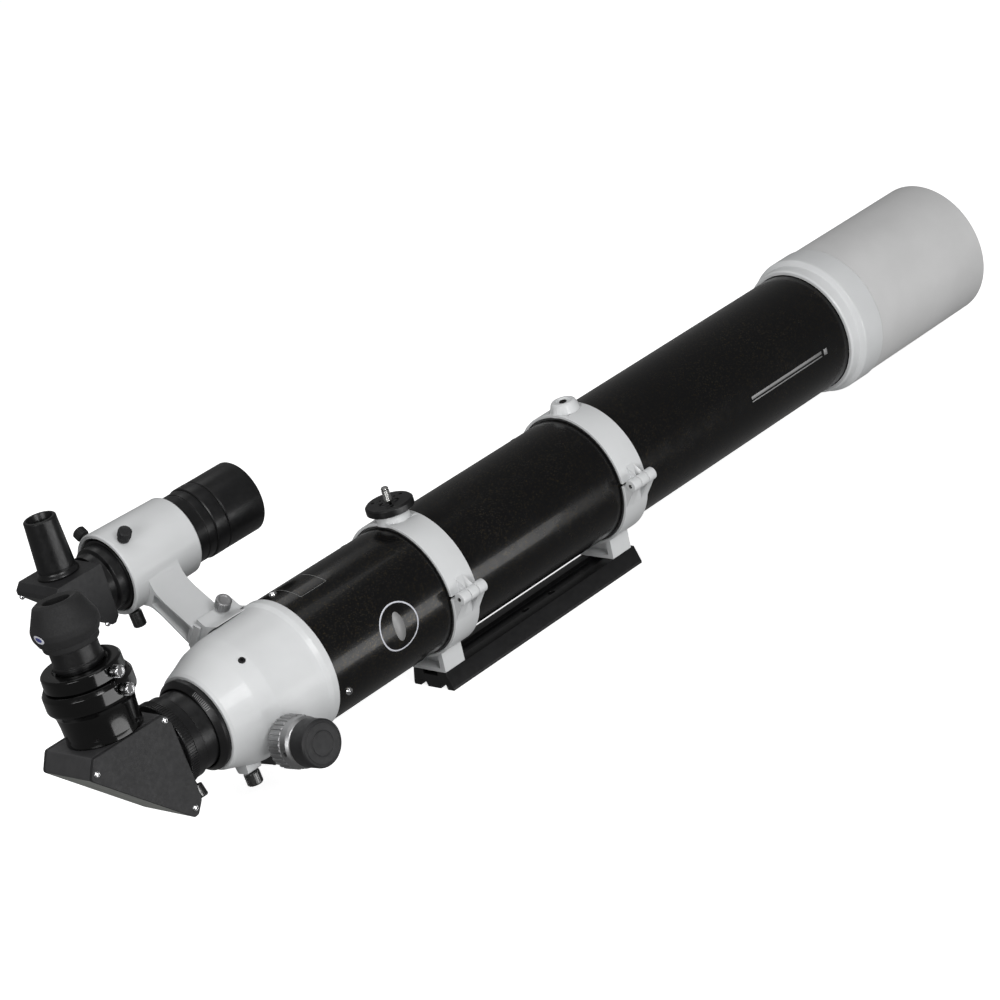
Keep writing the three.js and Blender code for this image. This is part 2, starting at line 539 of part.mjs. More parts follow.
function finderBracket() {
  const foot = bar([[-13.6, 54.7], [13.6, 54.7], [11.6, 60.9], [-11.6, 60.9]], ...FOOT_SPAN);
  // The stem widens where it meets the ring.
  const stemSide = [[9, 60], [7.4, 90], [8.4, 101], [13, 107.5], [24, 117.5]];
  const stemOutline = [...stemSide, ...stemSide.map(([y, z]) => [-y, z]).reverse()];
  const stem = bar(stemOutline, -264.5, -235.5);
  const channel = box([-268, -256], [-5.6, 5.6], [64, 101]);
  const [rear, front] = BRACKET_SPAN;
  const ringOutline = [[rear, BRACKET_BORE], [rear, 32.4], [front, 31], [front, BRACKET_BORE]];
  const ring = turned("x", ringOutline, ROUND.large).translate(0, 0, FINDER_DISTANCE);
  const bore = rod("x", BRACKET_BORE, -300, -200, ROUND.large).translate(0, 0, FINDER_DISTANCE);
  const screwHoles = [...Object.values(SCREW_ANGLES), PLUNGER_ANGLE].map((angle) =>
    rod("z", 2.6, 20, 50, ROUND.tiny).rotateX(radians(angle + FINDER_SIDE))
      .translate(FINDER_SCREWS_X, 0, FINDER_DISTANCE));
  return cut(join(cut(stem, channel), foot, ring), bore, ...screwHoles);
}
add(shoeFrame, "finder_bracket", finderBracket(), whitePaint);

// The screws bear on the finder tube, against a sprung plunger.
const finderScrews = subFrame(shoeFrame, { x: FINDER_SCREWS_X, z: FINDER_DISTANCE });
for (const [place, angle] of Object.entries(SCREW_ANGLES)) {
  const screw = thumbScrew({ tip: FINDER_TUBE_RADIUS + 0.4, head: 37, top: 43.5, shank: 2.1, radius: 5.2 });
  add(finderScrews, `finder_screw_${place}`, screw.rotateX(radians(angle + FINDER_SIDE)), anodised);
}
const plunger = thumbScrew({ tip: FINDER_TUBE_RADIUS + 0.4, head: 33.6, top: 46, shank: 2.1, radius: 5 });
add(finderScrews, "finder_plunger", plunger.rotateX(radians(PLUNGER_ANGLE + FINDER_SIDE)), satinSteel);

// Finder optics, level so that the finder's eyepiece points straight up.
const finderFrame = subFrame(shoeFrame, { z: FINDER_DISTANCE }, FINDER_SIDE - TUBE_ROLL);
const HOUSING_FRONT = -292.7;
const FINDER_FLANGE = 27.5; // collar that fills the bracket ring's rear end
const finderTubeOutline = [
  [HOUSING_FRONT + GAP, 17], [HOUSING_FRONT + GAP, 22], [-286, 22], [-284, 25],
  [-276.5, 25], [-276.5, FINDER_FLANGE], [-272, FINDER_FLANGE], [-271, FINDER_TUBE_RADIUS],
  [-217, FINDER_TUBE_RADIUS], [-215, 28.6], [-212, 27.4], [-193.3, 27.4], [-193.3, 25],
  [-166, 25], [-166, 23.4], [-284, 23.4], [-284, 17],
];
add(finderFrame, "finder_tube", turned("x", finderTubeOutline), anodised);
const lockRing = cut(
  lengthwise(ridged(28.4, 0.5, 22, -193, -181.2)), rod("x", 25.4, -200, -170, ROUND.medium));
add(finderFrame, "finder_lock_ring", lockRing, anodised);
const finderCellOutline = [
  [-180.9, 25.4], [-180.9, 28.3], [-145.7, 28.3], [-145.7, 26.6], [-157, 26.2], [-157, 22.5],
  [-160, 22.5], [-160, 25.4],
];
add(finderFrame, "finder_objective_cell", turned("x", finderCellOutline), anodised);
add(finderFrame, "finder_objective_lens", lens(25.8, -155.4, 1.2, -152, 1.4), opticalGlass);

// Right-angle prism housing: outline in X and Z from the finder's own corner point.
const finderEyeFrame = subFrame(finderFrame, { x: FINDER_EYE_X });
const housingOutline = [
  [21, 20.5], [21, -21], [17, -25], [13.5, -25], [-23.5, 12], [-23.5, 15.5], [-19, 20.5],
];
const housingHollow = [[17, 17], [17, -18.5], [14.6, -18.5], [-19.5, 15.6], [-18.4, 17]];
const HOUSING_HALF = 24;
const housing = cut(slab(housingOutline, -HOUSING_HALF, HOUSING_HALF), slab(housingHollow, -19, 19),
  rod("x", 15, 10, 40), rod("z", 9, 10, 40));
add(finderEyeFrame, "finder_prism_housing", housing, anodised);
const prismFaces = [[15.5, 15.5], [15.5, -15.5], [-15.5, 15.5]];
add(finderEyeFrame, "finder_prism", slab(prismFaces, -16, 16), opticalGlass);
const finderEyeOutline = [
  [20.8, 9], [20.8, 15.6], [22.4, 15.6], [23.6, 14.4], [25, 13.6], [27, 13.9], [62.5, 12.1], [64.4, 11.6],
  [64.4, 9.6], [60, 8.4], [24, 8.4],
];
add(finderEyeFrame, "finder_eyepiece", turned("z", finderEyeOutline), anodised);

export default telescope;
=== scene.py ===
"""Looks for a 100 mm refracting telescope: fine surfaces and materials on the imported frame.

Lengths in the helper calls are millimetres, turned into metres by the frame matrices.
+X runs along the optical axis towards the sky, +Z is up, and -Y is the right-hand side.
"""
import json
from math import cos, pi, radians, sin, tan

import bmesh
import bpy
from mathutils import Matrix, Vector


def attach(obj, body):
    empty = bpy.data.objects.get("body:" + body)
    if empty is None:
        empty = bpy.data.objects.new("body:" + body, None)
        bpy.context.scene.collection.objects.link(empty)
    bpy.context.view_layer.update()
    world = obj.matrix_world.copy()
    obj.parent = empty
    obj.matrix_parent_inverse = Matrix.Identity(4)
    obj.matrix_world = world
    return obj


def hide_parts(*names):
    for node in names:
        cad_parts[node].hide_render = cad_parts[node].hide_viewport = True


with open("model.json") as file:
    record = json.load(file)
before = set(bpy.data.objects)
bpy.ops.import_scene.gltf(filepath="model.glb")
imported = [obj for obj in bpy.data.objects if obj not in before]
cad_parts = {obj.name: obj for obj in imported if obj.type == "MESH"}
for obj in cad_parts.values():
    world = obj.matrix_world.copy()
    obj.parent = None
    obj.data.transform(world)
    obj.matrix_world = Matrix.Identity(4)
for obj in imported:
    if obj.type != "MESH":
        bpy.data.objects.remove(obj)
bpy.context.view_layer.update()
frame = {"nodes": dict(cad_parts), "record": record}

# ---- driving dimensions, as the frame has them ----
AXIS_HEIGHT = 82.5
TUBE_ROLL = -6.5
DIAGONAL_ROLL = -2.2
FINDER_SIDE = 45
FINDER_DISTANCE = 137.5
TUBE_RADIUS = 50.8
TUBE_INNER = 49.3
TUBE_REAR = -223.7
TUBE_FRONT = 368
RING_INNER = 52.7
RING_OUTER = 54.9
RING_X = {"rear": -96, "front": 92}
DIAGONAL_X = -384
FINDER_EYE_X = -313.7
FINDER_SCREWS_X = -266.7
SHAFT_X = -278.7
SHAFT_DROP = 30.6
SHAFT_RADIUS = 3.2
DRAWTUBE_REAR = -331.7
DRAWTUBE_FRONT = -207
DRAWTUBE_RADIUS = 30
TWO_INCH_BORE = 25.8
TWO_INCH_BARREL = 25.4
HINGE_OFFSET = 62.6
CLAMP_OFFSET = 64

MM = Matrix.Scale(0.001, 4)


def shifted(x=0, y=0, z=0):
    return Matrix.Translation((x, y, z))


def spun(axis, angle):
    return Matrix.Rotation(radians(angle), 4, axis)


def rolled(angle):
    return spun("X", angle)


LENGTHWISE = spun("Y", 90)  # what stands along Z lies along X
RIGHTWARD = spun("X", 90)  # what stands along Z points to the right
LEFTWARD = spun("X", -90)
QUARTER_TURN = spun("Z", 90)


def crosswise(matrix):
    """The frame of an outline drawn across the tube as (to the left, up), with its depth along X."""
    return matrix @ LENGTHWISE @ QUARTER_TURN


AXIS = MM @ shifted(z=AXIS_HEIGHT)
TUBE = AXIS @ rolled(TUBE_ROLL)
DIAGONAL = AXIS @ shifted(x=DIAGONAL_X) @ rolled(DIAGONAL_ROLL)
SHOE = TUBE @ rolled(-FINDER_SIDE)
FINDER = SHOE @ shifted(z=FINDER_DISTANCE) @ rolled(FINDER_SIDE - TUBE_ROLL)

# ---- which body and material slot each CAD node has ----
BODY_OF = {n: body for body, nodes in frame["record"]["behaviour"]["bodies"].items() for n in nodes}
SLOT_OF = {part["node"]: part["material_slot"] for part in frame["record"]["subparts"]}


def dresses(piece, node):
    """The piece is a detail that belongs to a CAD node and moves with it."""
    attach(piece, BODY_OF[node])
    return piece


def stands_for(piece, node):
    """The piece is shown in place of a CAD node."""
    dresses(piece, node)
    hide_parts(node)
    return piece


# ---- procedural materials ----
class Nodes:
    """A short way of writing shader nodes: each call makes a node and links or sets its inputs."""

    def __init__(self, name):
        self.material = bpy.data.materials.new(name)
        self.material.use_nodes = True
        self.tree = self.material.node_tree
        self.shader = self.tree.nodes["Principled BSDF"]
        self.place = self.make("ShaderNodeTexCoord").outputs["Object"]

    def make(self, kind, inputs=None, **settings):
        node = self.tree.nodes.new(kind)
        for key, value in settings.items():
            setattr(node, key, value)
        for key, value in (inputs or {}).items():
            self.feed(node.inputs[key], value)
        return node

    def feed(self, socket, value):
        if isinstance(value, bpy.types.NodeSocket):
            self.tree.links.new(value, socket)
        else:
            socket.default_value = value

    def set(self, **inputs):
        for key, value in inputs.items():
            self.feed(self.shader.inputs[key.replace("_", " ")], value)

    def noise(self, size_mm, detail=3.0, stretch=None):
        place = self.place
        if stretch:
            place = self.make("ShaderNodeMapping", {"Vector": place, "Scale": stretch}).outputs[0]
        inputs = {"Vector": place, "Scale": 1000 / size_mm, "Detail": detail}
        return self.make("ShaderNodeTexNoise", inputs).outputs["Fac"]

    def spread(self, factor, low, high, start=0.3, end=0.7):
        inputs = {"Value": factor, "From Min": start, "From Max": end, "To Min": low, "To Max": high}
        return self.make("ShaderNodeMapRange", inputs).outputs["Result"]

    def mottle(self, size_mm, detail=3.0):
        return self.spread(self.noise(size_mm, detail), 0, 1)

    def blend(self, factor, first, second):
        mix = self.make("ShaderNodeMix", data_type="RGBA")
        self.feed(mix.inputs["Factor"], factor)
        self.feed(mix.inputs[6], (*first, 1) if isinstance(first, tuple) else first)
        self.feed(mix.inputs[7], (*second, 1) if isinstance(second, tuple) else second)
        return mix.outputs[2]

    def bump(self, height, depth_mm, strength=1.0):
        inputs = {"Height": height, "Distance": depth_mm / 1000, "Strength": strength}
        self.set(Normal=self.make("ShaderNodeBump", inputs).outputs["Normal"])


def shaded(color, amount):
    return tuple(min(1.0, c * amount) for c in color)


def painted(name, color, roughness, peel_mm, peel_depth, coat=0.0):
    """Paint: a faint unevenness of tone and gloss, and the fine ripple of a sprayed surface."""
    look = Nodes(name)
    tone = look.mottle(35)
    look.set(Base_Color=look.blend(tone, shaded(color, 0.96), shaded(color, 1.03)))
    look.set(Roughness=look.spread(look.noise(6), roughness - 0.04, roughness + 0.05))
    look.set(Coat_Weight=coat, Coat_Roughness=0.08)
    look.bump(look.noise(peel_mm, 2), peel_depth)
    return look.material


def flaked(name):
    """Gloss black paint with fine gold and grey metal flakes under a clear coat."""
    look = Nodes(name)
    cells = look.make("ShaderNodeTexVoronoi", {"Vector": look.place, "Scale": 1000 / 0.7})
    flake = look.make("ShaderNodeSeparateColor", {"Color": cells.outputs["Color"]}).outputs
    chosen = look.make("ShaderNodeMath", {0: flake[0], 1: 0.86}, operation="GREATER_THAN").outputs[0]
    patch = look.spread(look.noise(60), 0.35, 1)
    amount = look.make("ShaderNodeMath", {0: chosen, 1: patch}, operation="MULTIPLY").outputs[0]
    tint = look.blend(flake[1], (0.085, 0.066, 0.036), (0.045, 0.045, 0.048))
    look.set(Base_Color=look.blend(amount, (0.0030, 0.0030, 0.0032), tint))
    look.set(Metallic=look.spread(chosen, 0.0, 0.8, 0, 1))
    look.set(Roughness=look.spread(look.noise(9), 0.20, 0.28))
    look.set(Specular_IOR_Level=0.24, Coat_Weight=0.16, Coat_Roughness=0.05)
    look.bump(look.noise(4, 2), 0.006)
    return look.material


def anodised(name, color, roughness, grain_mm=0.35, depth=0.012, metallic=0.35, specular=0.5):
    """Blasted and anodised aluminium: a fine even grain and slight wear of the tone."""
    look = Nodes(name)
    look.set(Specular_IOR_Level=specular)
    tone = look.mottle(14, 4)
    look.set(Base_Color=look.blend(tone, shaded(color, 0.85), shaded(color, 1.18)))
    look.set(Metallic=metallic)
    look.set(Roughness=look.spread(look.noise(3), roughness - 0.05, roughness + 0.07))
    look.bump(look.noise(grain_mm, 2), depth)
    return look.material


def turned_metal(name, color, roughness, line_mm=0.25):
    """Bright turned or plated metal with fine tool lines."""
    look = Nodes(name)
    lines = look.noise(line_mm, 2, stretch=(1, 0.06, 0.06))
    look.set(Base_Color=look.blend(look.mottle(5), shaded(color, 0.9), color))
    look.set(Metallic=1.0)
    look.set(Roughness=look.spread(lines, roughness * 0.8, roughness * 1.3))
    look.bump(lines, 0.006)
    return look.material


def glossy(name, color, roughness):
    """Deep gloss black lacquer, with a faint swirl of handling marks in its gloss."""
    look = Nodes(name)
    swirl = look.mottle(20)
    look.set(Base_Color=look.blend(swirl, shaded(color, 0.8), shaded(color, 1.3)))
    look.set(Roughness=look.spread(look.noise(2.5, 5), roughness, roughness + 0.07))
    look.set(Specular_IOR_Level=0.3, Coat_Weight=0.3, Coat_Roughness=0.05)
    look.bump(look.noise(8, 2), 0.01)
    return look.material


def rubbery(name, color):
    """Soft matte rubber with a fine moulded grain and a dusty bloom."""
    look = Nodes(name)
    bloom = look.mottle(9, 5)
    look.set(Base_Color=look.blend(bloom, color, shaded(color, 1.35)))
    look.set(Roughness=look.spread(look.noise(1.2), 0.62, 0.78))
    look.set(Sheen_Weight=0.04, Sheen_Roughness=0.4, Specular_IOR_Level=0.3)
    look.bump(look.noise(0.3, 3), 0.02)
    return look.material


def felted(name, color):
    look = Nodes(name)
    fibres = look.noise(0.25, 5, stretch=(1, 0.3, 1))
    look.set(Base_Color=look.blend(fibres, shaded(color, 0.6), shaded(color, 1.6)))
    look.set(Roughness=look.spread(fibres, 0.88, 1.0))
    look.set(Sheen_Weight=0.3)
    look.bump(fibres, 0.15)
    return look.material


def coated_glass(name, color):
    """Clear glass with the pale green reflection of an anti-reflection coating."""
    look = Nodes(name)
    look.set(Base_Color=look.blend(look.mottle(40), color, shaded(color, 1.05)))
    look.set(Roughness=look.spread(look.noise(12), 0.0, 0.02))
    look.set(Transmission_Weight=1.0, IOR=1.52, Coat_Weight=0.5, Coat_Tint=(0.7, 0.95, 0.84, 1))
    return look.material


def silvered(name):
    look = Nodes(name)
    look.set(Base_Color=look.blend(look.noise(30), (0.86, 0.88, 0.9), (0.93, 0.94, 0.95)), Metallic=1.0)
    look.set(Roughness=look.spread(look.noise(8), 0.0, 0.03))
    return look.material


MATERIALS = {
    "white_paint": painted("white_paint", (0.62, 0.63, 0.635), 0.44, 1.6, 0.012, coat=0.12),
    "shield_paint": painted("shield_paint", (0.56, 0.56, 0.56), 0.55, 0.6, 0.012),
    "tube_paint": flaked("tube_paint"),
    "black_anodised": anodised("black_anodised", (0.010, 0.010, 0.0105), 0.33),
    "gloss_black": glossy("gloss_black", (0.002, 0.002, 0.002), 0.11),
    "satin_metal": turned_metal("satin_metal", (0.38, 0.38, 0.385), 0.42),
    "chrome": turned_metal("chrome", (0.72, 0.72, 0.73), 0.10, 0.5),
    "steel": turned_metal("steel", (0.55, 0.55, 0.54), 0.24),
    "optical_glass": coated_glass("optical_glass", (0.92, 0.97, 0.95)),
    "mirror": silvered("mirror"),
    "eyecup_rubber": rubbery("eyecup_rubber", (0.012, 0.012, 0.0125)),
    "felt": felted("felt", (0.012, 0.012, 0.012)),
    "flat_black": painted("flat_black", (0.008, 0.008, 0.008), 0.85, 0.3, 0.03),
}
WHITE = MATERIALS["white_paint"]
BLACK = MATERIALS["black_anodised"]
GLOSS = MATERIALS["gloss_black"]
CHROME = MATERIALS["chrome"]
STEEL = MATERIALS["steel"]
GLASS = MATERIALS["optical_glass"]
SATIN_BLACK = anodised("satin_black", (0.019, 0.019, 0.020), 0.50, 0.5, 0.02, metallic=0.05, specular=0.3)
CAST_BLACK = anodised("cast_black", (0.060, 0.060, 0.062), 0.40, 0.5, 0.02, metallic=0.4)
DARK_METAL = turned_metal("dark_metal", (0.13, 0.13, 0.13), 0.3)
COVER_GREY = anodised("cover_grey", (0.30, 0.31, 0.29), 0.5, metallic=0.2)
# Near-black matte for the insides of holes and recesses: painted shade.
HOLE_SHADE = painted("painted_hole_shade", (0.004, 0.004, 0.004), 0.9, 0.5, 0.02)
DECAL_WHITE = painted("decal_white", (0.60, 0.61, 0.66), 0.4, 0.8, 0.004)
DECAL_GREY = painted("decal_grey", (0.26, 0.26, 0.26), 0.45, 0.8, 0.004)
DECAL_BLUE = painted("decal_blue", (0.05, 0.06, 0.22), 0.4, 0.8, 0.004)

for name, node in frame["nodes"].items():
    node.data.materials.clear()
    node.data.materials.append(MATERIALS[SLOT_OF[name]])


# ---- shapes ----
SHARP = radians(33)  # edges that turn more than this are drawn sharp
EASED = radians(38)  # edges that turn more than this are eased
ARC_STEPS = 4


def rounded(points, radius):
    """The outline with its corners rounded. A point may give its own radius as a third number.
    An outline that starts on the axis (second number 0) keeps both its ends."""
    closed = points[0][1] != 0
    smooth = []
    for i, point in enumerate(points):
        corner = Vector(point[:2])
        own = point[2] if len(point) > 2 else radius
        if own == 0 or (not closed and i in (0, len(points) - 1)):
            smooth.append(corner)
            continue
        back = Vector(points[i - 1][:2]) - corner
        on = Vector(points[(i + 1) % len(points)][:2]) - corner
        half = back.angle(on) / 2
        if half > radians(87):
            smooth.append(corner)
            continue
        reach = min(own / tan(half), 0.48 * back.length, 0.48 * on.length)
        start = corner + back.normalized() * reach
        end = corner + on.normalized() * reach
        for step in range(ARC_STEPS + 1):
            t = step / ARC_STEPS
            smooth.append(start * (1 - t) ** 2 + corner * 2 * t * (1 - t) + end * t * t)
    return smooth


def new_piece(name, mesh, matrix, material):
    """An object made from a bmesh whose places are in matrix's own frame."""
    bmesh.ops.recalc_face_normals(mesh, faces=mesh.faces)
    data = bpy.data.meshes.new(name)
    mesh.to_mesh(data)
    mesh.free()
    data.transform(matrix)
    data.shade_smooth()
    data.set_sharp_from_angle(angle=SHARP)
    data.materials.append(material)
    piece = bpy.data.objects.new(name, data)
    bpy.context.scene.collection.objects.link(piece)
    return piece


def turned(name, outline, matrix, material, rounding=0.3, sides=96, ridges=None, sweep=(0, 360)):
    """A piece turned round the frame's Z axis from an outline of (place, radius).
    ridges is (number, depth, from, to): grip ridges on the outline's points between two places."""
    points = rounded(outline, rounding)
    closed = outline[0][1] != 0
    whole = sweep[1] - sweep[0] == 360
    number, depth, low, high = ridges or (0, 0, 0, 0)
    if ridges:
        sides = number * 4
        steps = [(i // 4 + (0.0, 0.42, 0.5, 0.92)[i % 4]) / number for i in range(sides)]
    else:
        steps = [i / sides for i in range(sides + (0 if whole else 1))]
    outer = max(p[1] for p in points) - 1.5
    mesh = bmesh.new()
    rings = []
    for place, radius in points:
        if radius < 1e-6:
            rings.append([mesh.verts.new((0, 0, place))] * len(steps))
            continue
        grip = depth if low - 1e-6 <= place <= high + 1e-6 and radius > outer else 0
        ring = []
        for i, step in enumerate(steps):
            angle = radians(sweep[0] + step * (sweep[1] - sweep[0]))
            reach = radius - (grip if i % 4 > 1 else 0)
            ring.append(mesh.verts.new((reach * cos(angle), reach * sin(angle), place)))
        rings.append(ring)
    last = len(rings) if closed else len(rings) - 1
    for j in range(last):
        here, there = rings[j], rings[(j + 1) % len(rings)]
        for i in range(len(steps) if whole else len(steps) - 1):
            k = (i + 1) % len(steps)
            corners = list(dict.fromkeys((here[i], here[k], there[k], there[i])))
            if len(corners) > 2:
                mesh.faces.new(corners)
    if not whole:
        mesh.faces.new([ring[0] for ring in rings])
        mesh.faces.new([ring[-1] for ring in rings])
    return new_piece(name, mesh, matrix, material)


def prism(name, outline, span, matrix, material, rounding=0.5, edge=0.4):
    """A flat outline with rounded corners, given depth along the frame's Z axis, its rims eased."""
    points = rounded(outline, rounding)
    mesh = bmesh.new()
    low = [mesh.verts.new((x, y, span[0])) for x, y in points]
    high = [mesh.verts.new((x, y, span[1])) for x, y in points]
    mesh.faces.new(low)
    mesh.faces.new(high)
    for i in range(len(points)):
        k = (i + 1) % len(points)
        mesh.faces.new((low[i], low[k], high[k], high[i]))
    piece = new_piece(name, mesh, matrix, material)
    if edge:
        soften(piece, edge)
    return piece


def block(name, x, y, z, matrix, material, edge=0.5):
    outline = [(x[0], y[0]), (x[1], y[0]), (x[1], y[1]), (x[0], y[1])]
    return prism(name, outline, z, matrix, material, rounding=0, edge=edge)


def soften(piece, width):
    bevel = piece.modifiers.new("edges", "BEVEL")
    bevel.width = width / 1000
    bevel.segments = 3
    bevel.limit_method = "ANGLE"
    bevel.angle_limit = EASED
    bevel.harden_normals = True
    bevel.use_clamp_overlap = True
    return piece


def settle(piece):
    """Makes the piece's modifiers part of its mesh."""
    shape = piece.evaluated_get(bpy.context.evaluated_depsgraph_get())
    mesh = bpy.data.meshes.new_from_object(shape)
    piece.modifiers.clear()
    piece.data = mesh
    return piece


def combined(piece, others, operation):
    """Joins the others to the piece or cuts them from it."""
    settle(piece)
    for other in others:
        settle(other)
        step = piece.modifiers.new("shape", "BOOLEAN")
        step.operation = operation
        step.object = other
        step.solver = "EXACT"
        settle(piece)
        bpy.data.objects.remove(other)
    piece.data.shade_smooth()
    piece.data.set_sharp_from_angle(angle=SHARP)
    return piece


def joined(piece, *others):
    return combined(piece, others, "UNION")


def carved(piece, *others):
    return combined(piece, others, "DIFFERENCE")


def pipe(low, high, inner, outer):
    """The outline of a plain tube, or of a rod when inner is 0."""
    return [(low, inner), (low, outer), (high, outer), (high, inner)]


def mirrored(half):
    """A closed outline from its positive half."""
    return half + [(-across, *more) for across, *more in reversed(half)]


def hole(radius, span, matrix, sides=32):
    return turned("cutter", pipe(*span, 0, radius), matrix, HOLE_SHADE, rounding=0, sides=sides)


def thumb_screw(name, node, matrix, material, tip, head, top, shank, radius, ridges=20):
    """A screw along Z with a ridged head: plain shank, neck, ridged rim and a dished face."""
    face = top - 0.5
    outline = [
        (tip, 0), (tip, shank - 0.4), (tip + 0.5, shank), (head - 0.2, shank), (head, radius - 0.9),
        (head + 0.9, radius), (top - 0.9, radius), (top, radius - 0.9), (top, radius * 0.62),
        (face, radius * 0.55), (face, 0),
    ]
    piece = turned(name, outline, matrix, material, rounding=0.25,
                   ridges=(ridges, 0.42, head + 0.5, top - 0.5))
    return stands_for(piece, node)


def socket_screw(name, node, matrix, material, radius, height, socket):
    """A button-head screw standing on the frame's XY plane, with a hexagon socket."""
    dome = [(-0.4, 0), (-0.4, radius), (0.1 * height, radius), (0.62 * height, radius * 0.86),
            (height, radius * 0.5, 0.2), (height, 0)]
    head = turned(name, dome, matrix, material, rounding=0.5, sides=40)
    key = hole(socket, (height * 0.35, height + 1), matrix, sides=6)
    return dresses(carved(head, key), node)


FILM = 0.05  # thickness of a printed mark
INSIDE_OF_TUBE = 49.7  # faces nearer to the optical axis than this are the main tube's inside
INSIDE_OF_SHIELD = 56.3


def blacken_inside(piece, radius):
    """Gives flat black to the faces that lie nearer to the optical axis than the radius."""
    piece.data.materials.append(MATERIALS["flat_black"])
    for face in piece.data.polygons:
        if (Vector(face.center).yz - Vector((0, AXIS_HEIGHT / 1000))).length < radius / 1000:
            face.material_index = 1



def decal(name, node, rows, material, lift=0.06):
    """A thin printed shape on the main tube: rows of (along the tube, round the tube) pairs in mm."""
    mesh = bmesh.new()
    radius = TUBE_RADIUS + lift
    grid = []
    for row in rows:
        line = []
        for along, around in row:
            angle = around / TUBE_RADIUS
            line.append(mesh.verts.new((along, -radius * sin(angle), radius * cos(angle))))
        grid.append(line)
    for here, there in zip(grid, grid[1:]):
        for i in range(len(here) - 1):
            mesh.faces.new((here[i], here[i + 1], there[i + 1], there[i]))
    piece = new_piece(name, mesh, TUBE, material)
    solid = piece.modifiers.new("film", "SOLIDIFY")
    solid.thickness = FILM / 1000
    solid.offset = -1
    return dresses(piece, node)


# ---- dovetail bar ----
BAR_HALF = 106.2
BAR_PITS = (-1.5, 28)  # two pits in the channel's floor, along X


def bar_outline():
    half = [(0, 11), (8, 11, 0.6), (8, 14.5), (17.9, 14.5, 0.8), (22, 2.2, 0.8), (22, 0, 0.8),
            (14.8, 0), (13.8, 5.5), (8.5, 5.5), (7, 0), (0, 0)]
    return half + [(-across, *more) for across, *more in reversed(half[1:-1])]


def make_bar():
    body = prism("bar_body", bar_outline(), (-BAR_HALF, BAR_HALF), crosswise(MM),
                 BLACK, rounding=0.4, edge=0)
    carved(body, *[hole(3, (4, 20), MM @ shifted(x=x)) for x in BAR_PITS])
    soften(body, 0.45)
    stands_for(body, "dovetail_bar")


make_bar()

# ---- tube rings ----
HALF_WIDTH = 12.5
BAND = pipe(-HALF_WIDTH, HALF_WIDTH, RING_INNER, RING_OUTER)
KNUCKLE_RADIUS = 5
KNUCKLE_HALF = 4  # half the middle knuckle's length
KNUCKLE_GAP = 0.3
PIN_RADIUS = 1.7
GAP_ANGLE = 1.4  # degrees between the ring's split and the horizontal
BOSSES = {
    "rear": [(50, 0), (50, 14), (53.5, 13.4, 1.5), (57, 12.2, 1), (60.2, 11.4, 0.5), (60.2, 0)],
    "front": [(50, 0), (50, 14), (54, 12.2, 2), (60.4, 9.9, 0.9), (61.8, 8.8, 0.7), (61.8, 6.6, 0.4),
              (60.5, 6.3, 0.3), (60.5, 0)],
}
BOSS_BORES = {"rear": 3.4, "front": 3}


def knuckle(x0, x1, matrix, above):
    """One knuckle of the hinge, with the leaf that carries it from the ring."""
    barrel = turned("knuckle", [(x0, 0), (x0, KNUCKLE_RADIUS, 0.7), (x1, KNUCKLE_RADIUS, 0.7), (x1, 0)],
                    matrix @ shifted(y=-HINGE_OFFSET) @ LENGTHWISE, WHITE, sides=48)
    root, tip = (0.4, 14) if above else (-0.4, -26)  # heights of the leaf at the hinge and on the band
    reach = RING_INNER + 0.2
    foot = -(reach ** 2 - tip ** 2) ** 0.5
    leaf = prism("leaf", [(-HINGE_OFFSET, root), (-reach, root), (foot, tip), (-HINGE_OFFSET - 2, root * 8)],
                 (x0 + 0.3, x1 - 0.3), crosswise(matrix), WHITE, rounding=0.6, edge=0)
    return [barrel, leaf]


def ring_inside(centre):
    return hole(RING_INNER, (-20, 20), centre @ LENGTHWISE, sides=160)


def clamp_hole(radius, centre):
    return hole(radius, (-20, 20), centre @ shifted(y=CLAMP_OFFSET))


def make_upper_half(place, centre):
    upper = turned(f"ring_{place}_top", BAND, centre @ LENGTHWISE, WHITE, sides=80,
                   sweep=(90 + GAP_ANGLE, 270 - GAP_ANGLE))
    lug = block("lug", (-7, 7), (53, 72), (1.5, 9), centre, WHITE, edge=1.2)
    boss = turned("boss", BOSSES[place], centre, WHITE, sides=64)
    joined(upper, lug, boss, *knuckle(-KNUCKLE_HALF, KNUCKLE_HALF, centre, True))
    bore = hole(BOSS_BORES[place], (54, 70), centre)
    carved(upper, ring_inside(centre), bore, clamp_hole(3, centre))
    soften(upper, 0.35)
    stands_for(upper, f"ring_{place}_upper")
    if place == "front":
        # A near-black sleeve lining the boss's threaded bore: painted shade for the inside of the hole.
        thread = [(54.1, 0), (54.1, 2.9), (61.2, 2.9), (61.5, 2.6), (61.5, 2.2), (55, 2.2), (55, 0)]
        dresses(turned("boss_hole_shade", thread, centre, HOLE_SHADE, 0.1, 40), "ring_front_upper")


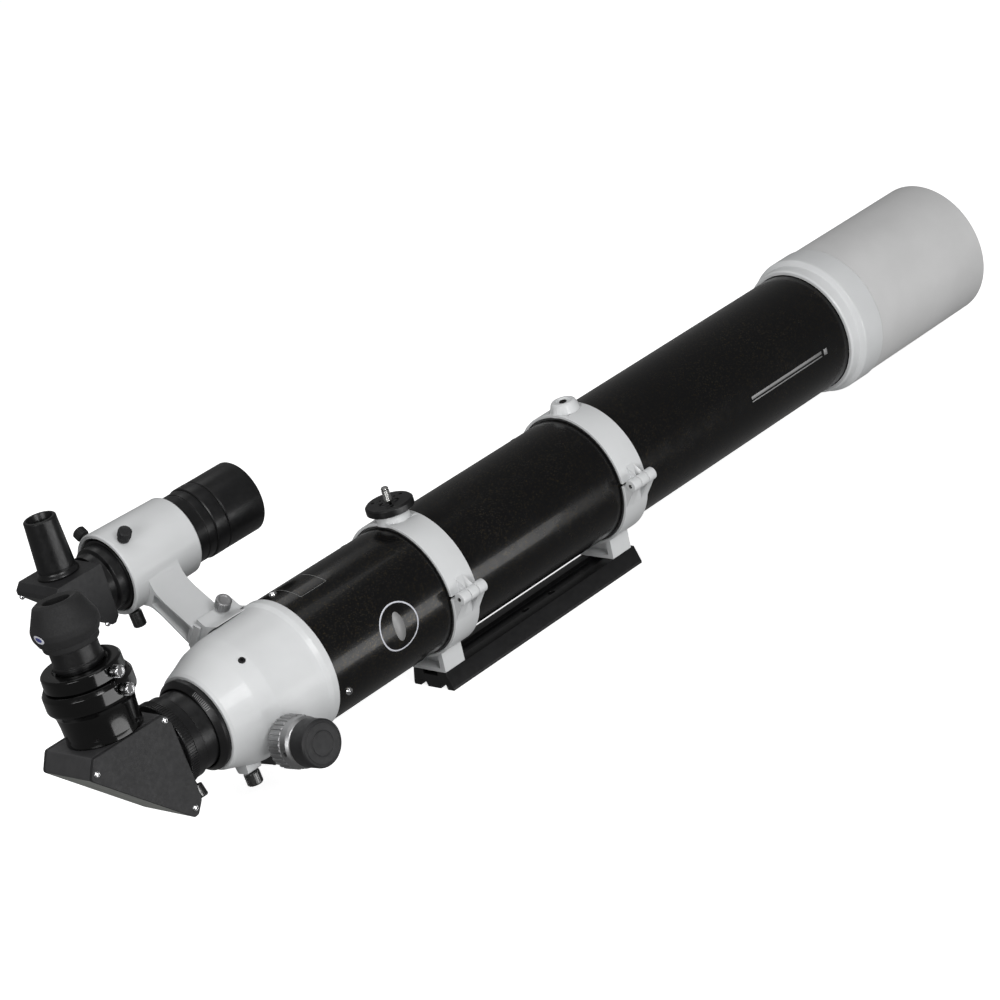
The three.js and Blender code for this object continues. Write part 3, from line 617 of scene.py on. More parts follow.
def make_lower_half(place, centre):
    lower = turned(f"ring_{place}_base", BAND, centre @ LENGTHWISE, WHITE, sides=80,
                   sweep=(-90 + GAP_ANGLE, 90 - GAP_ANGLE))
    lug = block("lug", (-7, 7), (53, 72), (-9, -1.5), centre, WHITE, edge=1.2)
    foot = prism("foot", [(-18.6, -67.7), (18.6, -67.7), (20.4, -48), (-20.4, -48)],
                 (-HALF_WIDTH + 2.3, HALF_WIDTH - 2.3), crosswise(centre), WHITE, rounding=0.8, edge=0)
    recess = prism("recess", [(-13.6, -64.7), (13.6, -64.7), (15.4, -52), (-15.4, -52)],
                   (-HALF_WIDTH - 5, HALF_WIDTH + 5), crosswise(centre), WHITE, rounding=1.2, edge=0)
    web = block("web", (-1.5, 1.5), (-16, 16), (-67, -50), centre, WHITE, edge=0)
    carved(foot, recess)
    inner = KNUCKLE_HALF + KNUCKLE_GAP
    rear_knuckle = knuckle(-HALF_WIDTH, -inner, centre, False)
    front_knuckle = knuckle(inner, HALF_WIDTH, centre, False)
    joined(lower, lug, foot, web, *rear_knuckle, *front_knuckle)
    carved(lower, ring_inside(centre), clamp_hole(3.4, centre))
    soften(lower, 0.35)
    stands_for(lower, f"ring_{place}_lower")


def make_ring(place):
    centre = AXIS @ shifted(x=RING_X[place])
    make_upper_half(place, centre)
    make_lower_half(place, centre)
    end = HALF_WIDTH + 0.1
    pin = turned(f"hinge_{place}_pin", pipe(-end, end, 0, PIN_RADIUS),
                 centre @ shifted(y=-HINGE_OFFSET) @ LENGTHWISE, STEEL, sides=32)
    stands_for(pin, f"ring_{place}_hinge_pin")
    thumb_screw(f"clamp_{place}_screw", f"ring_{place}_clamp_screw", centre @ shifted(y=CLAMP_OFFSET),
                BLACK, tip=-8, head=9.3, top=23, shank=2.5, radius=8, ridges=28)


for place in RING_X:
    make_ring(place)

STUD = AXIS @ shifted(x=RING_X["rear"])
STUD_PITCH = 1.27
STUD_THREAD_FROM = 63
STUD_THREAD_TURNS = 11


def make_stud():
    """The 1/4 inch camera stud with its thread, and the smooth disc round it with its notched hub."""
    outline = [(55, 0), (55, 2.9), (62, 2.9)]
    for turn in range(STUD_THREAD_TURNS):
        crest = STUD_THREAD_FROM + turn * STUD_PITCH
        groove = STUD_THREAD_FROM + (turn + 0.5) * STUD_PITCH
        outline += [(crest, 3.15), (groove, 2.45)]
    outline += [(77.6, 3.0), (78.8, 2.2), (78.8, 0)]
    thread = turned("stud_thread", outline, STUD, STEEL, rounding=0.1, sides=40)
    stands_for(thread, "camera_stud")
    disc = [(60.7, 0), (60.7, 17), (61.7, 18.3), (66.2, 18.3), (67.5, 17), (67.5, 8.2, 0.3),
            (68.4, 7.6, 0.3), (68.4, 5.4), (68.6, 5), (68.6, 0)]
    body = turned("lock_disc_body", disc, STUD, BLACK, rounding=0.5, sides=128)
    around = [Matrix.Rotation(i * pi / 3, 4, "Z") for i in range(6)]
    pits = [hole(1.4, (64.5, 70), STUD @ turn @ shifted(x=12.5)) for turn in around[::2]]
    notches = [block("notch", (5.4, 9), (-1, 1), (67.4, 70), STUD @ turn, HOLE_SHADE, edge=0)
               for turn in around]
    stands_for(carved(body, hole(3.4, (50, 80), STUD), *pits, *notches), "camera_lock_disc")


make_stud()

# ---- main tube ----
TUBE_AXIS = TUBE @ LENGTHWISE
FLANGE_SCREWS = 3
FLANGE_SCREWS_X = -214.5


def make_tube():
    outline = pipe(TUBE_REAR, TUBE_FRONT, TUBE_INNER, TUBE_RADIUS)
    skin = turned("tube_skin", outline, TUBE_AXIS, MATERIALS["tube_paint"], rounding=0.2, sides=192)
    blacken_inside(skin, INSIDE_OF_TUBE)
    stands_for(skin, "main_tube")
    for i in range(FLANGE_SCREWS):
        seat = TUBE @ rolled(i * 360 / FLANGE_SCREWS) @ shifted(x=FLANGE_SCREWS_X, z=TUBE_RADIUS)
        socket_screw(f"flange_screw_{i}", "main_tube", seat, CHROME, 3.1, 2.3, 1.3)


make_tube()


BADGE_X = -158
BADGE_ACROSS = 83  # how far round the tube from its top, towards the right
BADGE_RING = (18.4, 17.2)  # outer and inner radius
BADGE_LENS = 11.5  # half the height of the lens drawn in the ring
BADGE_BULGE = 0.42  # of that lens, against half its height
STRIPES = (  # each stripe's ends along the tube, and its edges round the tube
    ((238, 326), (84.5, 87)),
    ((238, 326), (88.5, 89.5)),
    ((329, 333), (84.5, 89.5)),
)
BOX_CORNERS = [(-208, -8), (-183, -8), (-183, 23), (-208, 23)]
BOX_LINE = 0.15  # half the width of the box's line


def badge_arc(radius, start, end, steps=64):
    """Places round the badge's middle, from one angle to another."""
    turns = [radians(start + (end - start) * i / steps) for i in range(steps + 1)]
    return [(BADGE_X + radius * cos(turn), BADGE_ACROSS + radius * sin(turn)) for turn in turns]


def between(start, end, steps=12):
    return [(start[0] + (end[0] - start[0]) * i / steps, start[1] + (end[1] - start[1]) * i / steps)
            for i in range(steps + 1)]


def make_decals():
    """Generic printed marks: a lens badge and a stripe on the right, and a plain box outline on top."""
    decal("badge_ring", "main_tube", [badge_arc(radius, 0, 360) for radius in BADGE_RING], DECAL_WHITE)
    faces = [[(BADGE_X + side * BADGE_BULGE * (x - BADGE_X), around)
              for x, around in badge_arc(BADGE_LENS, -90, 90)] for side in (-1, 1)]
    decal("badge_lens", "main_tube", faces, DECAL_GREY)
    for i, ((x0, x1), (low, high)) in enumerate(STRIPES):
        line = [x0 + (x1 - x0) * step / 4 for step in range(5)]
        decal(f"stripe_{i}", "main_tube", ([(x, low) for x in line], [(x, high) for x in line]), DECAL_GREY)
    for i, (start, end) in enumerate(zip(BOX_CORNERS, BOX_CORNERS[1:] + BOX_CORNERS[:1])):
        across = (BOX_LINE, 0) if start[0] == end[0] else (0, BOX_LINE)
        edge = [[(x + side * across[0], y + side * across[1]) for x, y in between(start, end)]
                for side in (-1, 1)]
        decal(f"box_edge_{i}", "main_tube", edge, DECAL_GREY)


make_decals()

# ---- objective ----
CELL_REAR = 359
SHIELD_REAR = 394.5
SHIELD_FRONT = 535.2


def make_objective():
    cell = [
        (CELL_REAR, 51.2), (CELL_REAR, 53.8, 0.8), (CELL_REAR + 1.6, 54.7, 0.8),
        (CELL_REAR + 9.5, 55.1, 1.5), (CELL_REAR + 12.6, 58.6, 1.6), (CELL_REAR + 14, 58.9, 0.6),
        (SHIELD_REAR - 0.8, 59, 0.5), (SHIELD_REAR - 0.4, 58), (SHIELD_REAR - 0.4, 55.6),
        (SHIELD_REAR + 18, 55.6), (SHIELD_REAR + 18, 51), (372, 51), (372, 48.6), (368.3, 48.6),
        (368.3, 51.2),
    ]
    stands_for(turned("cell_body", cell, TUBE_AXIS, WHITE, sides=192), "objective_cell")
    shield = [(SHIELD_REAR, 56), (SHIELD_REAR, 57.6, 0.4), (SHIELD_REAR + 0.8, 58.1, 0.5),
              (SHIELD_FRONT - 0.8, 58.1, 0.8), (SHIELD_FRONT, 57.2, 0.6), (SHIELD_FRONT, 56)]
    skin = turned("shield_skin", shield, TUBE_AXIS, MATERIALS["shield_paint"], sides=192)
    blacken_inside(skin, INSIDE_OF_SHIELD)
    stands_for(skin, "dew_shield")
    ring = [(391.4, 48.6), (391.4, 50.6), (396, 50.6), (396, 49.6), (394.6, 48.6)]
    stands_for(turned("retaining_ring_body", ring, TUBE_AXIS, MATERIALS["flat_black"], sides=128),
               "objective_retaining_ring")


def lens_piece(name, node, radius, rear, rear_bulge, front, front_bulge, matrix):
    """A lens between two curved faces, each bulging outwards by the distance given."""
    steps = 14
    outline = [(rear - rear_bulge * (1 - (i / steps) ** 2), radius * i / steps, 0) for i in range(steps + 1)]
    outline += [(front + front_bulge * (1 - (i / steps) ** 2), radius * i / steps, 0)
                for i in range(steps, -1, -1)]
    return stands_for(turned(name, outline, matrix, GLASS, 0, 96), node)


make_objective()
lens_piece("front_lens", "objective_front_lens", 50.5, 383.6, 1.9, 391, 1.8, TUBE_AXIS)
lens_piece("rear_lens", "objective_rear_lens", 50.5, 373.2, 0.8, 380.2, -1.6, TUBE_AXIS)

# ---- focuser ----
LOCK_X = -287.5
SIDE_SCREW = TUBE @ rolled(45) @ shifted(x=SHAFT_X - 2)  # of the small screw in the upper right side
UNDERSIDE = TUBE @ rolled(180)


def make_focuser():
    shell = [
        (-208, 45.2), (-208, 48.9), (-224, 48.9, 0), (-224, 51.8, 0.5), (-229.8, 51.8, 1.6),
        (-233.5, 50.2, 3), (-240, 49.4, 3), (-276, 48.3, 10), (-290, 45.9, 14), (-301, 41.6, 8),
        (-310.6, 38.3, 1.6), (-312.7, 36.8, 0.8), (-312.7, 31), (-297, 31), (-297, 41.5), (-240, 41.5),
        (-236, 45.2),
    ]
    body = turned("focuser_shell", shell, TUBE_AXIS, WHITE, rounding=0.6, sides=192)
    boss = prism("boss", [(-8.4, -36), (-6.2, -51), (6.2, -51), (8.4, -36)], (LOCK_X - 6.6, -281.2),
                 crosswise(TUBE), WHITE, rounding=2.2, edge=0)
    joined(body, boss)
    seat = block("seat", (-281.1, -256.7), (-22.3, 22.3), (-60, -39.7), TUBE, WHITE, edge=0)
    shaft_hole = hole(3.7, (-60, 60), TUBE @ shifted(x=SHAFT_X, z=-SHAFT_DROP) @ RIGHTWARD)
    lock_hole = hole(3, (-60, -35), TUBE @ shifted(x=LOCK_X))
    screw_hole = hole(2.7, (45, 60), SIDE_SCREW)
    carved(body, seat, shaft_hole, lock_hole, screw_hole)
    soften(body, 0.5)
    stands_for(body, "focuser_body")
    grub = [(44, 0), (44, 2.4), (48.2, 2.4), (48.2, 1.2), (46.4, 1.1), (46.4, 0)]
    dresses(turned("focuser_grub_screw", grub, SIDE_SCREW, BLACK, 0.15, 32), "focuser_body")


make_focuser()


COLLAR_SLOPE = 40.2  # degrees of the bevel that carries the marks
COLLAR_MARKS = 11
COLLAR_MARKS_AT = 50  # degrees of the middle engraved mark, from the top towards the right
COLLAR_MARK_STEP = 2.6


def make_collar():
    """The black collar at the drawtube's mouth, with a short row of engraved marks."""
    outline = [(-320.7, 31), (-320.7, 31.9, 0.3), (-316.8, 35.2, 0.5), (-314.8, 35.3, 0.3),
               (-314.4, 34.8, 0.2), (-313, 34.8, 0.2), (-313, 31)]
    stands_for(turned("collar_body", outline, TUBE_AXIS, BLACK, sides=160), "focuser_collar")
    slope = spun("Y", -COLLAR_SLOPE)
    for i in range(COLLAR_MARKS):
        angle = COLLAR_MARKS_AT + (i - COLLAR_MARKS // 2) * COLLAR_MARK_STEP
        seat = TUBE @ rolled(angle) @ shifted(x=-318.75, z=33.55)
        mark = block(f"collar_mark_{i}", (-1.7, 1.7), (-0.16, 0.16), (-0.1, 0.06), seat @ slope,
                     DECAL_GREY, edge=0)
        dresses(mark, "focuser_collar")


make_collar()

ADAPTER_SCREW = TUBE @ rolled(160) @ shifted(x=-341)


def make_drawtube():
    """The drawtube with its flat for the focus shaft, and the two inch adapter at its end."""
    flat = -SHAFT_DROP + SHAFT_RADIUS + 0.3
    outline = pipe(DRAWTUBE_REAR, DRAWTUBE_FRONT, TWO_INCH_BORE, DRAWTUBE_RADIUS)
    body = turned("drawtube_body", outline, TUBE_AXIS, BLACK, sides=128)
    carved(body, block("flat", (-318, -200), (-40, 40), (-40, flat), TUBE, HOLE_SHADE, edge=0))
    stands_for(body, "drawtube")
    adapter = [
        (-347.7, TWO_INCH_BORE), (-347.7, 31.8, 0.4), (-347, 32.6, 0.3), (-340.8, 32.6, 0.3),
        (-340, 31.4, 0.3), (-332.6, 31.4, 0.3), (-332, 30.8, 0.3), (-332, TWO_INCH_BORE),
    ]
    stands_for(turned("adapter_body", adapter, TUBE_AXIS, BLACK,
                      ridges=(96, 0.45, -347.2, -340.7)), "two_inch_adapter")
    thumb_screw("adapter_screw_body", "adapter_thumb_screw", ADAPTER_SCREW, DARK_METAL,
                tip=26.2, head=35, top=45, shank=2, radius=5)


make_drawtube()
SHAFT = TUBE @ shifted(x=SHAFT_X, z=-SHAFT_DROP)


KNOB_TURNS = {"right": RIGHTWARD, "left": LEFTWARD}
KNOB_ENDS = {"right": 69.4, "left": 66}
SET_SCREWS = {"right": 64.5, "left": 62.6}  # places along the shaft
PRESSURE_SCREWS = [(x, y) for x in (-277, -261) for y in (-17, 17)]


def make_coarse_knob(side):
    outer = KNOB_ENDS[side]
    seat = SHAFT @ KNOB_TURNS[side]
    outline = [
        (47.4, 3.3), (47.4, 17.6, 0.4), (48.2, 19.2, 0.4), (60, 19.2, 0.3), (60.6, 18.4, 0.3),
        (outer - 2.6, 18.3, 0.5), (outer - 0.6, 17, 0.5), (outer, 16, 0.3), (outer, 9, 0.3),
        (outer - 0.7, 8.4, 0.2), (outer - 0.7, 3.3),
    ]
    knob = turned(f"coarse_{side}_body", outline, seat, MATERIALS["satin_metal"], 0.25,
                  ridges=(30, 0.7, 48, 60.2))
    backwards = spun("Y", 180)
    set_screw = hole(1.8, (14, 30), seat @ shifted(z=SET_SCREWS[side]) @ backwards @ LENGTHWISE)
    stands_for(carved(knob, set_screw), f"coarse_knob_{side}")


def make_fine_knob():
    """The fine knob, with two shallow grooves turned in its face."""
    outline = [
        (69.8, 0), (69.8, 16.4, 0.4), (70.8, 17.2, 0.5), (84.6, 17.3, 0.9), (85.8, 16.2, 0.6),
        (86, 15.2, 0.2), (85.7, 14.9, 0.1), (85.7, 14.5, 0.1), (86, 14.2, 0.1), (86, 9.4, 0.1),
        (85.7, 9.1, 0.1), (85.7, 8.8, 0.1), (86, 8.5, 0.1), (86, 3.4), (85.9, 0),
    ]
    knob = turned("fine_body", outline, SHAFT @ RIGHTWARD, SATIN_BLACK, 0.3, ridges=(90, 0.18, 71.8, 84))
    stands_for(knob, "fine_knob")


def make_pressure_block():
    """The plate that presses the focus shaft against the drawtube, with its four screws."""
    plate = block("pressure_block_body", (-280.8, -257), (-22, 22), (-50, -40), TUBE, SATIN_BLACK, edge=0.8)
    pad = block("pad", (-273.7, -263.7), (-9, 9), (-41, -34.5), TUBE, SATIN_BLACK, edge=0)
    stands_for(joined(plate, pad), "focuser_pressure_block")
    for i, (x, y) in enumerate(PRESSURE_SCREWS):
        seat = UNDERSIDE @ shifted(x=x, y=y, z=50)
        socket_screw(f"pressure_screw_{i}", "focuser_pressure_block", seat, STEEL, 2.4, 1.6, 1.1)


def make_knobs():
    shaft = turned("shaft_body", pipe(-64, 69.6, 0, SHAFT_RADIUS), SHAFT @ RIGHTWARD, STEEL, 0.4, 40)
    stands_for(shaft, "focus_shaft")
    for side in KNOB_TURNS:
        make_coarse_knob(side)
    make_fine_knob()
    thumb_screw("lock_screw_body", "focus_lock_screw", TUBE @ shifted(x=LOCK_X) @ rolled(180),
                DARK_METAL, tip=27.6, head=52, top=62, shank=2.5, radius=6, ridges=22)
    make_pressure_block()


make_knobs()

# ---- star diagonal ----
SIDEWAYS = spun("X", 90)  # outline is (along the tube, up), depth to the right
HOUSING_TOP = 32.5
PLATE = [
    (29.5, HOUSING_TOP), (34, 24, 2), (36, -22.9, 3), (35.7, -36.9, 5), (29.3, -45.2, 2.5),
    (25.5, -45.7, 2.5), (-40.2, 19.3, 3), (-32.8, HOUSING_TOP, 3),
]
PLATE_SCREWS = ((29.4, 28.2), (-34.6, 21.6), (28.2, -39.6))
CORE_HALF = 25.7
PLATE_INNER = 26
PLATE_OUTER = 29


def paint_cover(core):
    """Gives the lowest face of the housing, the sloping cover under the mirror, its own grey."""
    core.data.materials.append(COVER_GREY)
    down = DIAGONAL.to_3x3().normalized() @ Vector((-0.7, 0, -0.71)).normalized()
    slope = [face for face in core.data.polygons if face.normal.dot(down) > 0.99]
    lowest = min((face.center.dot(-down), face.index) for face in slope)[0]
    for face in slope:
        if face.center.dot(-down) < lowest + 0.001:
            face.material_index = len(core.data.materials) - 1


def make_side_plate(side, span):
    plate = prism(f"side_plate_{side}", PLATE, span, DIAGONAL @ SIDEWAYS, SATIN_BLACK, 1.5, 0.45)
    stands_for(plate, f"diagonal_plate_{side}")
    turn = SIDEWAYS if side == "right" else SIDEWAYS @ spun("X", 180)
    for i, (x, z) in enumerate(PLATE_SCREWS):
        up = z if side == "right" else -z
        seat = DIAGONAL @ turn @ shifted(x=x, y=up, z=PLATE_OUTER)
        socket_screw(f"plate_screw_{side}_{i}", f"diagonal_plate_{side}", seat, CHROME,
                     2.6, 1.5, 1.3)


def make_diagonal():
    side_on = DIAGONAL @ SIDEWAYS
    core = prism("diagonal_core", PLATE, (-CORE_HALF, CORE_HALF), side_on, CAST_BLACK, rounding=1.5, edge=0)
    hollow = [(31, 29), (31, -40), (25.5, -40), (-34, 19.3), (-30, 29)]
    carved(core, prism("hollow", hollow, (-40, 40), side_on, HOLE_SHADE, rounding=1, edge=0),
           hole(TWO_INCH_BORE, (20, 50), DIAGONAL @ LENGTHWISE, sides=96),
           hole(24.3, (20, 50), DIAGONAL, sides=96))
    paint_cover(core)
    soften(core, 0.3)
    stands_for(core, "diagonal_housing")
    make_side_plate("right", (PLATE_INNER, PLATE_OUTER))
    make_side_plate("left", (-PLATE_OUTER, -PLATE_INNER))
    barrel = [
        (31.8, 23.2), (31.8, TWO_INCH_BARREL), (62, TWO_INCH_BARREL, 0.3), (63, 24.6, 0.3), (67, 24.6, 0.3),
        (68, TWO_INCH_BARREL, 0.3), (82, TWO_INCH_BARREL, 0.6), (82, 23.2),
    ]
    stands_for(turned("barrel_body", barrel, DIAGONAL @ LENGTHWISE, CHROME, sides=128),
               "diagonal_barrel")


make_diagonal()


def outward(bearing, height):
    """Points Z away from the diagonal's upright axis, at a bearing from the right towards the front."""
    return DIAGONAL @ shifted(z=height) @ spun("Z", bearing) @ RIGHTWARD


HOLDER_SCREWS = {"front": 10, "rear": 190}  # each screw's bearing
HOLDER_SCREW_HEIGHT = 66
ADAPTER_SCREW_HEIGHT = 79.4


def make_holder():
    """The eyepiece holder on the diagonal, the small adapter in it, and their three thumb screws."""
    outline = [
        (27, 21.5), (27, 24), (HOUSING_TOP + 0.2, 24, 0), (HOUSING_TOP + 0.2, 27.8, 0.8), (37, 27.2, 3),
        (47, 27.5, 8), (54.5, 28.4, 3), (57.6, 30.2, 2), (59.4, 31.9, 1.2), (61, 32.3, 0.8),
        (70.4, 32.3, 0.8), (72.2, 31.2, 0.8), (73.5, 30.4, 0.6), (73.5, TWO_INCH_BORE),
        (38, TWO_INCH_BORE), (38, 21.5),
    ]
    body = turned("holder_body", outline, DIAGONAL, GLOSS, rounding=0.4, sides=160)
    seats = {place: outward(bearing, HOLDER_SCREW_HEIGHT) for place, bearing in HOLDER_SCREWS.items()}
    holes = [hole(2.4, (20, 50), seat) for seat in seats.values()]
    stands_for(carved(body, *holes), "eyepiece_holder")
    small = [
        (46, 16), (46, TWO_INCH_BARREL), (73.8, TWO_INCH_BARREL, 0), (73.8, 28.2, 0.3), (75, 29, 0.6),
        (83.6, 28.8, 0.8), (85, 27.6, 0.6), (85, 20, 0.4), (84, 19.2, 0.4), (84, 16),
    ]
    small_seat = outward(HOLDER_SCREWS["front"], ADAPTER_SCREW_HEIGHT)
    adapter = turned("small_adapter_body", small, DIAGONAL, GLOSS, sides=128)
    stands_for(carved(adapter, hole(2.4, (10, 40), small_seat)), "eyepiece_adapter")
    for letter, place in (("a", "front"), ("b", "rear")):
        thumb_screw(f"holder_screw_{letter}", f"holder_screw_{place}", seats[place], CHROME,
                    tip=25.9, head=33.6, top=40.5, shank=2, radius=4.6, ridges=16)
    thumb_screw("adapter_screw_c", "eyepiece_adapter_screw", small_seat, CHROME,
                tip=16.3, head=30, top=37, shank=2, radius=4.6, ridges=16)


make_holder()


LEAN_FROM = 125  # the eyecup's mouth leans: above this height it is lifted on the side of one bearing
LEAN_OVER = 7  # height in which the lean grows to its full slope
LEAN_SLOPE = 0.1
LEAN_BEARING = 236
CUP_RADIUS = 24.35  # of the eyecup where the patch is, down to the crease
CUP_CREASE = 113
CUP_TAPER = 0.42  # how fast the eyecup narrows below the crease
PATCH_HEIGHT = 115.5
PATCH_BEARING = 185
PATCH_SLANT = 0.12
PATCH_COLUMNS = 24
PATCH_LEVELS = (-1, -0.33, 0.33, 1)  # across each column, against half the oval's height
PATCHES = (  # name, height, width, how far proud of the rubber, material
    ("rim", 6, 9.5, 0.12, DECAL_WHITE),
    ("middle", 3.2, 6, 0.2, DECAL_BLUE),
)


def leaning(piece):
    towards = Vector((cos(radians(LEAN_BEARING)), sin(radians(LEAN_BEARING)), 0))
    inwards = DIAGONAL.inverted()
    for corner in piece.data.vertices:
        place = inwards @ corner.co
        share = min(1, max(0, (place.z - LEAN_FROM) / LEAN_OVER))
        corner.co = DIAGONAL @ (place + Vector((0, 0, LEAN_SLOPE * share * place.dot(towards))))
    return piece


def make_eyecup_patch():
    """A small plain oval, white with a blue middle, printed on the side of the eyecup."""
    for name, height, width, lift, material in PATCHES:
        mesh = bmesh.new()
        grid = []
        for i in range(PATCH_COLUMNS + 1):
            turn = pi * i / PATCH_COLUMNS
            column = []
            for level in PATCH_LEVELS:
                place = PATCH_HEIGHT + level * height / 2 * sin(turn) - PATCH_SLANT * width * cos(turn)
                radius = CUP_RADIUS - max(0, CUP_CREASE - place) * CUP_TAPER + lift
                bearing = radians(PATCH_BEARING) + width / 2 * cos(turn) / radius
                column.append(mesh.verts.new((radius * cos(bearing), radius * sin(bearing), place)))
            grid.append(column)
        for here, there in zip(grid, grid[1:]):
            for k in range(len(PATCH_LEVELS) - 1):
                mesh.faces.new((here[k], here[k + 1], there[k + 1], there[k]))
        bmesh.ops.remove_doubles(mesh, verts=mesh.verts, dist=1e-4)
        dresses(new_piece(f"eyecup_patch_{name}", mesh, DIAGONAL, material), "eyecup")


def make_eyepiece():
    body = [
        (52, 13), (52, 15.7), (86, 15.7), (86, 18.4, 0.4), (88.6, 18.4, 0.4), (89.4, 17.4, 0.3),
        (124, 17.4), (124, 12.4), (119, 11.4), (119, 9), (60, 9),
    ]
    stands_for(turned("eyepiece_tube", body, DIAGONAL, BLACK, sides=128), "eyepiece_body")
    cup = [
        (101, 17.7), (101, 19.6, 0.5), (101.8, 20.1, 0.4), (105.4, 20.5, 0.5), (106.6, 21.9, 0.6),
        (112, 24.2, 5), (117, 24.3, 5), (132.4, 17.4, 2), (134.2, 14.4, 1.2), (133, 9.6, 0.8),
        (127, 11.8, 2), (124.6, 13.4, 0.4), (124.6, 17.7),
    ]
    rubber = turned("eyecup_body", cup, DIAGONAL, MATERIALS["eyecup_rubber"], rounding=0.4, sides=128)
    stands_for(leaning(rubber), "eyecup")
    make_eyecup_patch()
    lens = [(119.4, 0), (119.4, 11), (121.6, 11), (122.6, 7, 2), (123, 3, 2), (123.1, 0)]
    stands_for(turned("eye_lens_glass", lens, DIAGONAL, GLASS, 0.2, 64), "eye_lens")


make_eyepiece()

# ---- finder ----
BRACKET_REAR = -276.7
BRACKET_FRONT = -211.7
BRACKET_BORE = 29.2
ADJUSTERS = {"left": -45, "right": 45}  # degrees of the adjusting screws, from the bracket's top
PLUNGER_ANGLE = 180


def make_shoe():
    """The finder's shoe: a dovetail channel whose flared foot runs into the focuser."""
    outline = [
        (-27, 38, 0), (27, 38, 0), (27, 42.6, 0), (17.3, 51.5, 7), (17, 60.5), (12.2, 60.5), (14.2, 54.3),
        (-14.2, 54.3), (-12.2, 60.5), (-17, 60.5), (-17.3, 51.5, 7), (-27, 42.6, 0),
    ]
    shoe = prism("shoe_body", outline, (-262, -228), crosswise(SHOE), WHITE, rounding=0.7, edge=0)
    carved(shoe, hole(49.9, (-300, -200), TUBE_AXIS, sides=160),
           hole(51.9, (-234, -200), TUBE_AXIS, sides=160))
    soften(shoe, 0.5)
    stands_for(shoe, "finder_shoe")
    thumb_screw("shoe_screw_body", "finder_shoe_screw", SHOE @ shifted(x=-241, z=57.2) @ RIGHTWARD,
                MATERIALS["satin_metal"], tip=13.6, head=19.5, top=28, shank=2, radius=6, ridges=22)


def make_bracket():
    """The finder's bracket: a dovetail foot, a channelled stem and the ring, in one casting."""
    crossways = crosswise(SHOE)
    centre = SHOE @ shifted(z=FINDER_DISTANCE)
    ring_outline = [
        (BRACKET_REAR, BRACKET_BORE), (BRACKET_REAR, 31.6, 0.5), (BRACKET_REAR + 1.2, 32.4, 0.6),
        (BRACKET_FRONT - 1, 31, 0.8), (BRACKET_FRONT, 30.2, 0.5), (BRACKET_FRONT, BRACKET_BORE),
    ]
    ring = turned("bracket_body", ring_outline, centre @ LENGTHWISE, WHITE, sides=128)
    stem_side = [(9, 60, 1), (7.4, 90, 20), (8.4, 101, 14), (13, 107.5, 10), (24, 117.5, 1)]
    stem = prism("stem", mirrored(stem_side), (-264.5, -235.5), crossways, WHITE, rounding=1, edge=0)
    channel = prism("channel", [(-7.4, 63), (7.4, 63), (5.7, 101), (-5.7, 101)], (-268, -256), crossways,
                    WHITE, rounding=1.2, edge=0)
    foot = prism("foot", [(-13.6, 54.7), (13.6, 54.7), (11.6, 60.9), (-11.6, 60.9)], (-264, -227),
                 crossways, WHITE, rounding=0.5, edge=0)
    carved(stem, channel)
    joined(ring, stem, foot)
    holes = [hole(2.6, (20, 50), centre @ rolled(angle + FINDER_SIDE) @ shifted(x=FINDER_SCREWS_X))
             for angle in (*ADJUSTERS.values(), PLUNGER_ANGLE)]
    carved(ring, hole(BRACKET_BORE, (-300, -200), centre @ LENGTHWISE, sides=128), *holes)
    soften(ring, 0.5)
    stands_for(ring, "finder_bracket")


def make_bracket_screws():
    """The two adjusting screws with their nuts, and the sprung plunger that faces them."""
    screws = SHOE @ shifted(z=FINDER_DISTANCE) @ shifted(x=FINDER_SCREWS_X)
    nut_outline = [(33.4, 1.6), (33.4, 4.4, 0.4), (36, 4.4, 0.4), (36, 1.6)]
    for side, angle in ADJUSTERS.items():
        seat = screws @ rolled(angle + FINDER_SIDE)
        thumb_screw(f"finder_adjuster_{side}", f"finder_screw_{side}", seat, SATIN_BLACK,
                    tip=26.4, head=36.6, top=43.5, shank=2.1, radius=5.2, ridges=18)
        nut = turned(f"finder_nut_{side}", nut_outline, seat, SATIN_BLACK, 0.2, ridges=(14, 0.3, 33.5, 35.9))
        dresses(nut, f"finder_screw_{side}")
    thumb_screw("finder_plunger_body", "finder_plunger", screws @ rolled(PLUNGER_ANGLE + FINDER_SIDE),
                DARK_METAL, tip=26.4, head=33.6, top=46, shank=2.1, radius=5, ridges=18)


